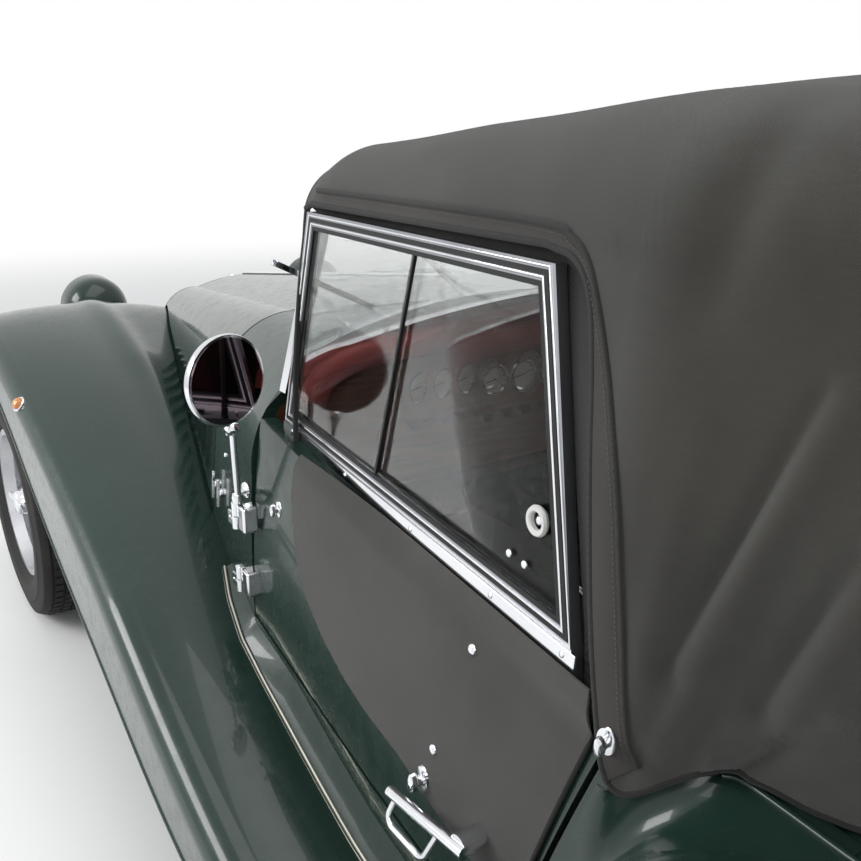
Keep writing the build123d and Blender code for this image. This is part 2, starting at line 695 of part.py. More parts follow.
# Leaf springs: where each end sits over the frame
SPRING_FRONT_Y = 690
SPRING_REAR_Y = 1600
SPRING_X = 452
SPRING_END_Z = 216
SPRING_RISE = TYRE_RADIUS - AXLE_RADIUS - 15 - SPRING_END_Z
SPRING_LEAF = 14
SPRING_WIDTH = 34
SPRING_EYE_RADIUS = 12


def rail_x(y):
    """Distance of a rail's centre line from the middle of the car at this station."""
    return between([(b, a) for a, b in RAIL_LINE], y)[1]


def chassis_frame():
    """Two side rails bent in plan with spring brackets and towing eyes, and the cross members between them."""
    half = RAIL_WIDTH / 2
    outline = [(x + half, y) for x, y in RAIL_LINE] + [(x - half, y) for x, y in reversed(RAIL_LINE)]
    rail = plan_prism(outline, RAIL_BOTTOM, RAIL_TOP)
    for y in (SPRING_FRONT_Y, SPRING_REAR_Y):
        rail = rail + block((SPRING_X - 40, SPRING_X + SPRING_WIDTH / 2), (y - 12, y + 12),
                            (RAIL_BOTTOM + 6, SPRING_END_Z - SPRING_EYE_RADIUS - SEAT_GAP))
    across = Rot(0, 90, 0)
    for x, y in (FRONT_EYE, REAR_EYE):
        rail = rail + Pos(x, y, TOW_EYE_Z) * across * Cylinder(TOW_EYE_RADIUS, TOW_EYE_THICKNESS)
        rail = rail - Pos(x, y, TOW_EYE_Z) * across * Cylinder(TOW_BORE_RADIUS, 4 * TOW_EYE_THICKNESS)
    pieces = [rail, mirrored(rail)]
    depth = CROSS_WIDTH / 2
    for y in CROSS_MEMBERS:
        member = block((-500, 500), (y - depth, y + depth), (RAIL_TOP - CROSS_HEIGHT, RAIL_TOP))
        pieces.append(min((member - rail - mirrored(rail)).solids(), key=lambda solid: abs(solid.center().X)))
    return pieces


def leaf_spring():
    """Left leaf spring: a shallow bow with an eye at each end, clamped under the axle tube."""
    low = SPRING_END_Z + SPRING_RISE
    middle = (SPRING_FRONT_Y + SPRING_REAR_Y) / 2
    half = SPRING_LEAF / 2
    x = SPRING_X - SPRING_WIDTH / 2

    def bow(shift):
        ends = [Vector(x, y, SPRING_END_Z + shift) for y in (SPRING_FRONT_Y, SPRING_REAR_Y)]
        return ThreePointArc(ends[0], Vector(x, middle, low + shift), ends[1])

    upper, lower = bow(half), bow(-half)
    face = Face(Wire([upper, Line(upper @ 1, lower @ 1), lower, Line(lower @ 0, upper @ 0)]))
    spring = extrude(face, SPRING_WIDTH, dir=(1, 0, 0))
    for y in (SPRING_FRONT_Y, SPRING_REAR_Y):
        spring = spring + rod((x, y, SPRING_END_Z), (x + SPRING_WIDTH, y, SPRING_END_Z), SPRING_EYE_RADIUS)
    clamp = block((x - 4, x + SPRING_WIDTH + 4), (REAR_AXLE_Y - 34, REAR_AXLE_Y + 34),
                  (low - 14, TYRE_RADIUS - 10))
    return spring + clamp


def rear_axle():
    """Live axle with its differential, propeller shaft, brake plates and leaf springs."""
    z = TYRE_RADIUS
    plate_x = REAR_HALF_TRACK - 92
    axle = rod((-plate_x, REAR_AXLE_Y, z), (plate_x, REAR_AXLE_Y, z), AXLE_RADIUS)
    axle = axle + Pos(0, REAR_AXLE_Y, z) * Sphere(DIFF_RADIUS)
    axle = axle + rod((0, PROP_FRONT_Y + SEAT_GAP, z), (0, REAR_AXLE_Y, z), PROP_RADIUS)
    stub_end = REAR_HALF_TRACK + 40
    axle = axle + rod((-stub_end, REAR_AXLE_Y, z), (stub_end, REAR_AXLE_Y, z), STUB_RADIUS)
    for x in (plate_x, -plate_x + 8):
        axle = axle + rod((x - 8, REAR_AXLE_Y, z), (x, REAR_AXLE_Y, z), DRUM_RADIUS)
    return axle + leaf_spring() + mirrored(leaf_spring())


UPPER_TUBE_Z = 560
LOWER_TUBE_Z = 205


def front_axle():
    """Crossframe of two tubes joined by uprights, with a sliding pillar and its spring at each end."""
    y = FRONT_AXLE_Y
    face = rail_x(y) + RAIL_WIDTH / 2 + 4
    frame = rod((-KINGPIN_X, y, UPPER_TUBE_Z), (KINGPIN_X, y, UPPER_TUBE_Z), 20)
    depth = (y - 40, y + 40)
    for side in (-1, 1):
        x = side * KINGPIN_X
        frame = frame + rod((x, y, LOWER_TUBE_Z), (side * (face + 2), y, LOWER_TUBE_Z), 18)
        frame = frame + block((side * face, side * (face + 12)), depth, (180, UPPER_TUBE_Z))
        frame = frame + block((side * (face - 50), side * (face + 12)), depth, (RAIL_TOP, RAIL_TOP + 12))
        frame = frame + rod((x, y, 190), (x, y, UPPER_TUBE_Z + 15), KINGPIN_RADIUS)
        frame = frame + rod((x, y, 190), (x, y, TYRE_RADIUS - 89), 24)
        frame = frame + rod((x, y, TYRE_RADIUS + 87), (x, y, UPPER_TUBE_Z), 26)
    return frame


def knuckle():
    """Left steering knuckle: a sleeve on the pillar, the stub axle, a brake plate and a steering arm."""
    y, z = FRONT_AXLE_Y, TYRE_RADIUS
    plate_x = FRONT_HALF_TRACK - 92
    piece = rod((KINGPIN_X, y, z - 83), (KINGPIN_X, y, z + 81), SLEEVE_RADIUS)
    piece = piece + rod((KINGPIN_X, y, z), (FRONT_HALF_TRACK + 40, y, z), STUB_RADIUS)
    piece = piece + rod((KINGPIN_X, y, z), (plate_x, y, z), 30)
    piece = piece + rod((plate_x - 8, y, z), (plate_x, y, z), DRUM_RADIUS)
    piece = piece + rod((KINGPIN_X, y, z - 53), (KINGPIN_X - 20, y + 120, z - 53), 9)
    return largest(piece - rod((KINGPIN_X, y, z - 115), (KINGPIN_X, y, z + 135), KINGPIN_RADIUS + RUNNING_GAP))


def wire_spokes():
    """Wire spokes in two rows; each pair leans opposite ways and crosses between the hub and the rim."""
    wires = []
    for row, (hub_x, rim_x) in enumerate(SPOKE_ROWS):
        for index in range(SPOKE_PAIRS):
            turn = 360 / SPOKE_PAIRS * (index + row / 2)
            for lean in (-1, 1):
                near, far = radians(turn - lean * SPOKE_LEAN), radians(turn + lean * SPOKE_LEAN / 2)
                inner, outer = HUB_RADIUS - 6, RIM_RADIUS - 9
                wires.append(rod((hub_x - 3 * lean, inner * sin(near), inner * cos(near)),
                                 (rim_x - 3 * lean, outer * sin(far), outer * cos(far)), SPOKE_RADIUS))
    return wires


def wheel():
    """Left wheel about the origin: a hub and brake drum bored for the stub axle, wire spokes and a rim."""
    inner = SHUT_GAP - 92
    bore = STUB_RADIUS + RUNNING_GAP
    hub = wheel_revolve([
        (inner, bore), (46, bore), (46, 0), (60, 0), (60, HUB_RADIUS - 10), (46, HUB_RADIUS),
        (inner + 44, HUB_RADIUS), (inner + 40, DRUM_RADIUS), (inner, DRUM_RADIUS), (inner, DRUM_RADIUS - 12),
        (inner + 30, DRUM_RADIUS - 14), (inner + 34, HUB_RADIUS), (inner, HUB_RADIUS - 6),
    ])
    half = RIM_WIDTH / 2
    seat = RIM_RADIUS - SEAT_GAP
    rim = wheel_revolve([
        (-half, RIM_RADIUS + 9), (-half, seat - 6), (-half + 30, seat - 18), (half - 30, seat - 18),
        (half, seat - 6), (half, RIM_RADIUS + 9), (half - 5, RIM_RADIUS + 9), (half - 5, seat),
        (-half + 5, seat), (-half + 5, RIM_RADIUS + 9),
    ])
    nut = rod((58, 0, 0), (70, 0, 0), NUT_RADIUS) + block((60, 68), (-62, 62), (-8, 8))
    return largest(hub + [rim, nut, *wire_spokes()])


def tyre():
    """Tyre about the origin, from its beads on the rim to a slightly rounded tread."""
    half = RIM_WIDTH / 2 - 5.5
    side = [(half, RIM_RADIUS), (half, RIM_RADIUS + 10)]
    for x, share in ((80, 0.2), (TYRE_WIDTH / 2, 0.464), (84, 0.752), (70, 0.928), (40, 1)):
        side.append((x, RIM_RADIUS + share * (TYRE_RADIUS - RIM_RADIUS)))
    return wheel_revolve(side + [(-x, radius) for x, radius in reversed(side)])


def wheel_revolve(profile):
    """A ring turned about the wheel's axle from an outline in (x, radius)."""
    points = [Vector(x, 0, radius) for x, radius in profile]
    return revolve(Face(Wire.make_polygon(points)), Axis.X, 360)


def steering_bore(radius):
    """A rod along the steering column, from the wheel's hub to behind the firewall."""
    start = Vector(COLUMN_X, STEERING_WHEEL_Y, STEERING_WHEEL_Z)
    down = Vector(0, -cos(radians(COLUMN_TILT)), -sin(radians(COLUMN_TILT)))
    end = start + down * 640
    return rod(tuple(start), tuple(end), radius)


def steering_wheel():
    """Rim, three spokes and hub on the column, which ends just before the firewall's far side."""
    centre = Vector(COLUMN_X, STEERING_WHEEL_Y, STEERING_WHEEL_Z)
    tilt = radians(COLUMN_TILT)
    plane = Plane(origin=centre, x_dir=(1, 0, 0), z_dir=(0, cos(tilt), sin(tilt)))
    piece = plane * Torus(STEERING_WHEEL_RADIUS, 12) + plane * Cylinder(34, 30)
    for angle in (90, 210, 330):
        spoke = Rot(0, 0, angle) * Pos(STEERING_WHEEL_RADIUS / 2, 0, 0) * Box(STEERING_WHEEL_RADIUS, 26, 5)
        piece = piece + plane * spoke
    return piece + steering_bore(COLUMN_RADIUS)


def dashboard():
    """Flat dashboard across the scuttle with a bush for the steering column."""
    slab = scuttle_hollow(16 + SEAT_GAP) & block((-700, 700), (-126, -102), (690, 1200))
    start = Vector(COLUMN_X, STEERING_WHEEL_Y, STEERING_WHEEL_Z)
    down = Vector(0, -cos(radians(COLUMN_TILT)), -sin(radians(COLUMN_TILT)))
    bush = rod(tuple(start + down * 270), tuple(start + down * 330), 24)
    return largest(slab + bush - steering_bore(COLUMN_RADIUS + RUNNING_GAP))


def seats():
    """Two seats: a cushion on the floor and a leaning back behind it, on each side of the tunnel."""
    low = SILL_Z + SEAT_GAP
    cushion = side_prism([(240, low), (680, low), (700, 400), (245, 430)], TUNNEL_HALF_WIDTH + 16, 490)
    back = side_prism([(716, low), (806, low), (926, 790), (890, 830), (836, 812), (728, 430)],
                      TUNNEL_HALF_WIDTH + 16, 412)
    return cushion, back, mirrored(cushion), mirrored(back)


def engine_block():
    """Engine as one plain block standing on two cross members, with its gearbox behind."""
    engine = block(ENGINE_X, ENGINE_Y, (RAIL_TOP, ENGINE_TOP))
    return engine + block((-90, 90), (ENGINE_Y[1], PROP_FRONT_Y), (RAIL_TOP + 10, TUNNEL_TOP - 24))


EXHAUST_X = -215
EXHAUST_Z = 178
EXHAUST_RADIUS = 20
SILENCER_Y = (180, 700)


def exhaust():
    """Exhaust pipe from the engine's side, under the cross members, with its silencer and hangers."""
    start = ENGINE_X[0] - SEAT_GAP
    pipe = tube_path([(start, -760, 430), (EXHAUST_X - 5, -760, 430), (EXHAUST_X, -640, EXHAUST_Z),
                      (EXHAUST_X, 1860, EXHAUST_Z)], [24, 60], EXHAUST_RADIUS)
    pipe = pipe + rod((EXHAUST_X, SILENCER_Y[0], EXHAUST_Z), (EXHAUST_X, SILENCER_Y[1], EXHAUST_Z), 45)
    top = RAIL_TOP - CROSS_HEIGHT - SEAT_GAP
    for y in CROSS_MEMBERS[3:]:
        pipe = pipe + block((EXHAUST_X - 12, EXHAUST_X + 12), (y - 8, y + 8), (EXHAUST_Z, top))
    return pipe


def fuel_tank():
    """Fuel tank on the rear cross member, inside the tail."""
    return block((-290, 290), (1420, 1640), (RAIL_TOP, 420))


def spare_wheel():
    """Spare wheel lying flat against the sloping tail."""
    (y0, z0), (y1, z1) = [(row[0], row[4]) for row in TUB_SECTIONS[-2:]]
    length = ((y1 - y0) ** 2 + (z1 - z0) ** 2) ** 0.5
    along = Vector(0, (y1 - y0) / length, (z1 - z0) / length)
    out = Vector(0, -along.Z, along.Y)
    radius = 304
    centre = Vector(0, y0, z0) + along * (radius + 36) + out * (76 + SEAT_GAP)
    profile = [(-76, 60), (-76, 262), (-60, 290), (-38, radius), (38, radius), (66, 290), (80, 250), (66, 196),
               (40, 186), (40, 60), (58, 50), (58, 0), (-40, 0), (-40, 60)]
    points = [Vector(radius_, 0, x) for x, radius_ in profile]
    ring = revolve(Face(Wire.make_polygon(points)), Axis.Z, 360)
    return Plane(origin=centre, x_dir=(1, 0, 0), z_dir=out) * ring


LAMP = (370, 742)
LAMP_RADIUS = 90
LAMP_FRONT_Y = -1768
LAMP_REAR_Y = -1596
TAIL_LAMP = (640, 520)
TAIL_LAMP_RADIUS = 34


def headlamps(wing_panel):
    """Left headlamp pod: a bullet set into the wing beside the cowl, open at the front for its lens."""
    x, z = LAMP
    side = [(LAMP_REAR_Y - 40, 0), (LAMP_REAR_Y - 44, 40), (LAMP_REAR_Y - 74, 74), (-1700, LAMP_RADIUS),
            (LAMP_FRONT_Y, LAMP_RADIUS), (LAMP_FRONT_Y, LAMP_RADIUS - 7), (LAMP_FRONT_Y + 16, LAMP_RADIUS - 7),
            (LAMP_FRONT_Y + 16, 0)]
    points = [Vector(0, y, radius) for y, radius in side]
    pod = Pos(x, 0, z) * revolve(Face(Wire.make_polygon(points)), Axis.Y, 360)
    stem = rod((x, -1690, z), (x, -1690, z - 170), 30)
    return max((pod + stem - wing_panel).solids(), key=lambda solid: solid.center().Z)


def lamp_lens():
    """Left headlamp lens in the pod's mouth."""
    x, z = LAMP
    start = LAMP_FRONT_Y + 16 - SEAT_GAP
    return rod((x, start, z), (x, start - 18, z), LAMP_RADIUS - 7 - SEAT_GAP)


def tail_lamp(wing_panel):
    """Left tail lamp standing off the back of the rear wing."""
    x, z = TAIL_LAMP
    lamp = rod((x, 1540, z), (x, 1650, z), TAIL_LAMP_RADIUS) - wing_panel
    return max(lamp.solids(), key=lambda solid: solid.center().Y)


BUMPER_HALF = 690
BUMPER_Z = (330, 400)
BUMPER_DEPTH = 26


def bumpers():
    """Front and rear bumper bars on brackets against the rails, raised clear of the towing eyes."""
    half = LENGTH / 2
    pieces = []
    for end, (x, eye_y) in ((-1, FRONT_EYE), (1, REAR_EYE)):
        bar = block((-BUMPER_HALF, BUMPER_HALF), (end * half, end * (half - BUMPER_DEPTH)), BUMPER_Z)
        rail_y = end * (abs(eye_y) - 110)
        face = rail_x(rail_y) + RAIL_WIDTH / 2 + SEAT_GAP
        back = half - BUMPER_DEPTH + 2
        eye = abs(eye_y)
        outline = [(end * back, 340), (end * back, 390), (end * (eye - 40), 262), (rail_y, 244), (rail_y, 190),
                   (end * (eye - 50), 190), (end * (eye - 35), 224), (end * (eye + 10), 238)]
        bracket = side_prism(outline, face, face + 10)
        bar = bar + bracket + mirrored(bracket)
        pieces.append(bar)
    return pieces


def main():
    os.makedirs("parts", exist_ok=True)
    scuttle_outer = arch_block(SCUTTLE_SECTIONS) - side_prism(SCUTTLE_REAR_EDGE, -700, 700)
    tub_outer = tub_block()
    wing_loft = loft([wing_section(*row) for row in FRONT_WING_ROWS])
    front_wing = wing(FRONT_WING_ROWS, arch_block(BONNET_SECTIONS, 24), scuttle_outer, tub_outer,
                      arch_block(COWL_SECTIONS))
    split = 4
    rear_wing = largest(wing(REAR_WING_ROWS[:split], tub_outer) + wing(REAR_WING_ROWS[split - 1:], tub_outer))
    lamp, tail = headlamps(wing_loft), tail_lamp(rear_wing)
    lens = lamp_lens()
    flap, screen = door_flap(), side_screen()

    save("chassis_frame", *chassis_frame())
    save("front_axle", front_axle())
    save("rear_axle", rear_axle())
    save("engine_block", engine_block())
    save("exhaust", exhaust())
    save("fuel_tank", fuel_tank())
    save("floor_pan", floor_pan())
    save("scuttle", scuttle())
    save("body_tub", body_tub())
    save("radiator_cowl", radiator_cowl())
    save("grille_slats", grille_slats())
    save_pair("bonnet", bonnet_lid(wing_loft))
    save_pair("front_wing", front_wing)
    save_pair("rear_wing", rear_wing)
    save("lamps", lamp, mirrored(lamp), tail, mirrored(tail))
    save("lamp_lenses", lens, mirrored(lens))
    save("bumpers", *bumpers())
    save_pair("door", door())
    save_pair("door_handle", door_handle())
    save_pair("side_screen", screen)
    save_pair("side_panes", *side_panes())
    save_pair("door_flap", flap)
    save("mirrors", mirror(), mirrored(mirror()))
    save("windscreen_frame", windscreen_frame())
    save("fixed_glass", windscreen_glass(), rear_pane())
    save("dashboard", dashboard())
    save("steering_wheel", steering_wheel())
    save("seats", *seats())
    save("hood_fabric", hood_fabric())
    save("hood_frame", hood_frame())
    save("spare_wheel", spare_wheel())
    save_pair("knuckle", knuckle())
    wheel_piece, tyre_piece = wheel(), tyre()
    axles = {"front": (FRONT_HALF_TRACK, FRONT_AXLE_Y), "rear": (REAR_HALF_TRACK, REAR_AXLE_Y)}
    for end, (half_track, y) in axles.items():
        place = Pos(half_track, y, TYRE_RADIUS)
        save_pair(f"wheel_{end}", place * wheel_piece)
        save_pair(f"tyre_{end}", place * tyre_piece)


if __name__ == "__main__":
    main()
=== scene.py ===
"""Looks of an open two-seater roadster with its hood up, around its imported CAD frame."""

from math import cos, exp, pi, radians, sin

import bmesh
import bpy
import numpy as np
from mathutils import Matrix, Vector
from mathutils.bvhtree import BVHTree


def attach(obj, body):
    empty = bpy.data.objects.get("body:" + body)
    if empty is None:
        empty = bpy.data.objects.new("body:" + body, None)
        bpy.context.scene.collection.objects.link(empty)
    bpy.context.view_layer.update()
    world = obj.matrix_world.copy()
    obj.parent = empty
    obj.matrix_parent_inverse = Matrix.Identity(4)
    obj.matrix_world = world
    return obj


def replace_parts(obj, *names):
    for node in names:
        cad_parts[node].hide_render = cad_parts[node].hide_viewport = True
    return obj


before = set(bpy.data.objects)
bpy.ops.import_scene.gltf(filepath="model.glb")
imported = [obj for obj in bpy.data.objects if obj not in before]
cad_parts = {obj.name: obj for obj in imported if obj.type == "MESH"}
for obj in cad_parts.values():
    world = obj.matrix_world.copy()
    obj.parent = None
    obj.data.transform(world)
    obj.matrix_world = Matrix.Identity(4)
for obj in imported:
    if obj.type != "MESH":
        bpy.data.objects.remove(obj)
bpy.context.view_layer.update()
SIDES = (("left", 1), ("right", -1))
MM = 0.001
AHEAD = (0, 0, 1)
AXLE_Z = 315

# Shapes shared with the CAD, in mm

# y, half width at the hem, at the shoulder, shoulder height, half width of the top, its height, crown height
HOOD_SECTIONS = np.array([
    (0, 545, 516, 1155, 450, 1232, 1254),
    (60, 550, 524, 1175, 440, 1260, 1284),
    (560, 584, 568, 1195, 440, 1314, 1336),
    (700, 598, 576, 1195, 430, 1326, 1350),
    (790, 524, 540, 1180, 400, 1322, 1346),
    (960, 462, 480, 1130, 350, 1270, 1294),
    (1236, 432, 404, 846, 300, 866, 868),
], float)
HOOD_LOW_Z = 735
# Lower edge of the hood cloth as (y, z), from the header round the window opening and along the body
HOOD_EDGE = np.array([
    (2, 1180), (24, 1188), (560, 1198), (600, 1192), (618, 1178), (632, 1150), (644, 1100), (656, 1020), (670, 925),
    (684, 830), (695, 752), (702, 741), (714, 739), (728, 749), (744, 764), (758, 776), (770, 783), (784, 782),
    (804, 774), (832, 768), (868, 768), (910, 780), (970, 796), (1040, 818), (1110, 846), (1170, 862), (1228, 866),
], float)
# y, half width at the sill, at the middle, at the top, height of the top
TUB_SECTIONS = np.array([
    (-95, 572, 588, 560, 862), (300, 590, 608, 582, 820), (700, 592, 614, 586, 782), (775, 505, 522, 505, 800),
    (950, 450, 462, 440, 862), (1240, 420, 432, 405, 860), (1690, 330, 335, 300, 500),
], float)
TUB_LOW_Z, TUB_MIDDLE_Z = 262, 540
# y, half widths at the sill and at the side's top, height of that, half width and height of the top, crown height
BODY_SECTIONS = np.array([
    (-1600, 225, 205, 640, 120, 752, 772), (-1430, 300, 262, 750, 150, 826, 850), (-420, 532, 500, 790, 340, 948, 982),
    (-95, 572, 578, 770, 410, 948, 995), (-20, 572, 578, 770, 410, 948, 995),
], float)
# y, z of the crown, forward tilt, x of the inner and the outer edge, drop of the inner edge, depth of the skirt
FRONT_WING = [
    (-1792, 400, 84, 225, 735, 30, 70), (-1745, 580, 62, 225, 752, 35, 90), (-1620, 742, 36, 225, 762, 35, 100),
    (-1430, 814, 6, 225, 765, 45, 110), (-1180, 796, -12, 225, 765, 95, 120), (-700, 672, -15, 300, 768, 115, 200),
    (-250, 548, -15, 430, 785, 80, 185), (120, 446, -14, 480, 800, 105, 150), (400, 376, -9, 500, 800, 65, 110),
    (590, 358, 0, 500, 800, 45, 95),
]
REAR_WING = [
    (590, 358, 0, 500, 800, 45, 95), (658, 425, 62, 400, 800, 35, 60), (694, 580, 75, 400, 800, 30, 60),
    (758, 716, 42, 400, 800, 12, 70), (905, 782, 13, 380, 800, 45, 90), (1145, 805, 0, 380, 800, 80, 100),
    (1345, 765, -22, 360, 798, 80, 100), (1505, 655, -48, 330, 790, 70, 90), (1592, 500, -72, 300, 770, 50, 70),
    (1612, 380, -84, 300, 750, 40, 60),
]
# Lower edge of the doors as its stations and its heights there, and how far their rear edge leans back per height
DOOR_FOOT, DOOR_LEAN = ((-95, 588), (530, 440)), 0.3167
# Plane of the side screens: x where y = z = 0, and its change with y and with z
SIDE_PLANE = (573.6, 0.0784, -0.0455)
SIDE_OPENING = ((-28, 884), (620, 866), (554, 1162), (50, 1158))
SCREEN_OUT = (1, -0.078, 0.045)
FLAP_EDGE = np.array([
    (56, 790), (71, 751), (84, 709), (125, 665), (181, 631), (248, 606), (311, 592), (381, 581), (471, 556), (541, 543),
    (598, 537), (612, 560), (640, 655), (676, 780),
], float)


def at(table, y):
    """The table's row at this station, worked out between its neighbours."""
    return np.array([np.interp(y, table[:, 0], table[:, column]) for column in range(table.shape[1])])


def eased(table, y, reach):
    """The same, averaged over a stretch either way, so that corners between the rows are rounded."""
    return np.mean([at(table, y + reach * share) for share in (-1, -0.6, -0.2, 0.2, 0.6, 1)], axis=0)


def arc(start, middle, end, count):
    """Points on the arc through three points of a plane."""
    (ax, ay), (bx, by), (cx, cy) = start, middle, end
    turn = 2 * (ax * (by - cy) + bx * (cy - ay) + cx * (ay - by))
    if abs(turn) < 1e-9:
        return np.linspace(start, end, count)
    a, b, c = ax * ax + ay * ay, bx * bx + by * by, cx * cx + cy * cy
    centre = np.array([(a * (by - cy) + b * (cy - ay) + c * (ay - by)) / turn,
                       (a * (cx - bx) + b * (ax - cx) + c * (bx - ax)) / turn])
    first, mid, last = [np.arctan2(*(np.array(p) - centre)[::-1]) for p in (start, middle, end)]
    sweep = (last - first) % (2 * pi)
    if (mid - first) % (2 * pi) > sweep:
        sweep -= 2 * pi
    angles = first + np.linspace(0, sweep, count)
    radius = np.hypot(*(np.array(start) - centre))
    return centre + radius * np.column_stack([np.cos(angles), np.sin(angles)])


def arch_half(row, low_z):
    """Half of a body or hood section in (x, z), from its low edge up to its crown."""
    _, low, side, side_z, top, top_z, crown_z = row
    bulge = ((low + side) / 2 + 12, (low_z + side_z) / 2)
    elbow = (side - (side - top) * 0.29, side_z + (top_z - side_z) * 0.71)
    crown = arc((top, top_z), (0, crown_z), (-top, top_z), 41)[:21]
    return np.vstack([arc((low, low_z), bulge, (side, side_z), 24)[:-1],
                      arc((side, side_z), elbow, (top, top_z), 14)[:-1], crown])


def tub_x(y, z):
    """Half width of the tub's side at a station and height."""
    _, sill, middle, top, top_z = at(TUB_SECTIONS, y)
    middle_z = min(TUB_MIDDLE_Z, (TUB_LOW_Z + top_z) / 2)
    line = arc((sill, TUB_LOW_Z), (middle, middle_z), (top, top_z), 60)
    return float(np.interp(z, line[:, 1], line[:, 0]))


def body_x(y, z):
    """Half width of the body's side at a station and height."""
    if y >= -95:
        return tub_x(y, z)
    line = arch_half(at(BODY_SECTIONS, y), TUB_LOW_Z)
    return float(np.interp(z, line[:, 1], line[:, 0]))


def door_top(y):
    return float(np.interp(y, TUB_SECTIONS[:, 0], TUB_SECTIONS[:, 4]))


def side_point(y, z, out):
    """A point of the left side screen's plane, moved outwards by a distance."""
    start, by_y, by_z = SIDE_PLANE
    normal = np.array([1, -by_y, -by_z]) / np.sqrt(1 + by_y ** 2 + by_z ** 2)
    return np.array([start + by_y * y + by_z * z, y, z]) + normal * out


def resampled(points, count):
    """A polyline with its points spread evenly along it."""
    points = np.asarray(points, float)
    steps = np.concatenate([[0], np.cumsum(np.linalg.norm(np.diff(points, axis=0), axis=1))])
    share = np.linspace(0, steps[-1], count)
    return np.column_stack([np.interp(share, steps, points[:, axis]) for axis in range(points.shape[1])])


def splined(table, step):
    """A table's rows joined by a natural cubic spline, with a row about every step of its first two columns."""
    table = np.asarray(table, float)
    run = np.concatenate([[0], np.cumsum(np.hypot(*np.diff(table[:, :2], axis=0).T))])
    gaps, count = np.diff(run), len(table)
    slopes = np.diff(table, axis=0) / gaps[:, None]
    system, known = np.eye(count), np.zeros_like(table)
    for i in range(1, count - 1):
        system[i, i - 1:i + 2] = gaps[i - 1], 2 * (gaps[i - 1] + gaps[i]), gaps[i]
        known[i] = 6 * (slopes[i] - slopes[i - 1])
    bend = np.linalg.solve(system, known)
    rows = []
    for place in np.linspace(0, run[-1], int(run[-1] / step) + 1):
        i = min(int(np.searchsorted(run, place, side="right")) - 1, count - 2)
        a, b = (run[i + 1] - place) / gaps[i], (place - run[i]) / gaps[i]
        rows.append(a * table[i] + b * table[i + 1]
                    + ((a ** 3 - a) * bend[i] + (b ** 3 - b) * bend[i + 1]) * gaps[i] ** 2 / 6)
    return np.array(rows)


def rounded(points, step):
    """A smooth line through the points, sampled about every step."""
    points = np.asarray(points, float)
    padded = np.vstack([2 * points[:1] - points[1:2], points, 2 * points[-1:] - points[-2:-1]])
    line = []
    for index in range(len(padded) - 3):
        p0, p1, p2, p3 = padded[index:index + 4]
        count = max(2, int(np.linalg.norm(p2 - p1) / step) + 1)
        for t in np.arange(count) / count:
            line.append(0.5 * (2 * p1 + (p2 - p0) * t + (2 * p0 - 5 * p1 + 4 * p2 - p3) * t * t
                               + (3 * p1 - p0 - 3 * p2 + p3) * t ** 3))
    line.append(padded[-2])
    return np.array(line)


# Materials


class Wire:
    """A socket of a material's tree. Arithmetic on it adds Math nodes."""

    def __init__(self, finish, socket):
        self.finish, self.socket = finish, socket

    def math(self, operation, first, second=0.0):
        return self.finish.node("Math", {"operation": operation}, {0: first, 1: second})

    def __add__(self, other):
        return self.math("ADD", self, other)

    def __radd__(self, other):
        return self.math("ADD", other, self)

    def __sub__(self, other):
        return self.math("SUBTRACT", self, other)

    def __mul__(self, other):
        return self.math("MULTIPLY", self, other)

    def __rmul__(self, other):
        return self.math("MULTIPLY", other, self)

    def wave(self):
        return self.math("SINE", self)

    def between(self, low, high):
        """0 below low, 1 above high, and a smooth change between them."""
        return self.finish.node("MapRange", {"interpolation_type": "SMOOTHSTEP"},
                                {0: self, 1: low, 2: high, 3: 0.0, 4: 1.0})


class Finish:
    """One procedural material, and the one method that all its nodes come from."""

    def __init__(self, name, **constants):
        self.material = bpy.data.materials.new(name)
        self.material.use_nodes = True
        self.tree = self.material.node_tree
        self.shader = self.tree.nodes["Principled BSDF"]
        for socket, value in constants.items():
            self.feed(self.shader.inputs[socket.replace("_", " ")], value)

    def feed(self, socket, value):
        if isinstance(value, Wire):
            self.tree.links.new(value.socket, socket)
        elif hasattr(socket.default_value, "__len__") and len(socket.default_value) == 4 and len(value) == 3:
            socket.default_value = (*value, 1)
        else:
            socket.default_value = value

    def node(self, kind, settings=None, sockets=None, output=0):
        made = self.tree.nodes.new("ShaderNode" + kind)
        for key, value in (settings or {}).items():
            setattr(made, key, value)
        for key, value in (sockets or {}).items():
            self.feed(made.inputs[key], value)
        return Wire(self, made.outputs[output])

    def colour(self, factor, first, second):
        """From the first colour to the second as the factor goes from 0 to 1."""
        return self.node("Mix", {"data_type": "RGBA"}, {0: factor, 6: first, 7: second}, 2)

    def place(self):
        return self.node("TexCoord", output=3)

    def cut(self):
        """The piece's own flat pattern, in metres."""
        return self.node("UVMap", {"uv_map": "cut"})

    def split(self, vector):
        parts = self.node("SeparateXYZ", sockets={0: vector}).socket.node
        return [Wire(self, socket) for socket in parts.outputs]

    def noise(self, scale, detail, rough=0.5, source=None, stretch=None):
        source = source or self.place()
        if stretch:
            source = self.node("Mapping", sockets={0: source, 3: stretch})
        return self.node("TexNoise", sockets={0: source, "Scale": scale, "Detail": detail, "Roughness": rough})

    def grain(self, scale, **settings):
        return self.node("TexVoronoi", settings, {0: self.place(), "Scale": scale})

    def paint(self, **sockets):
        for key, value in sockets.items():
            self.feed(self.shader.inputs[key.replace("_", " ")], value)

    def relief(self, height, distance, strength=1.0):
        bump = self.node("Bump", sockets={"Strength": strength, "Distance": distance, "Height": height})
        self.feed(self.shader.inputs["Normal"], bump)
        return self


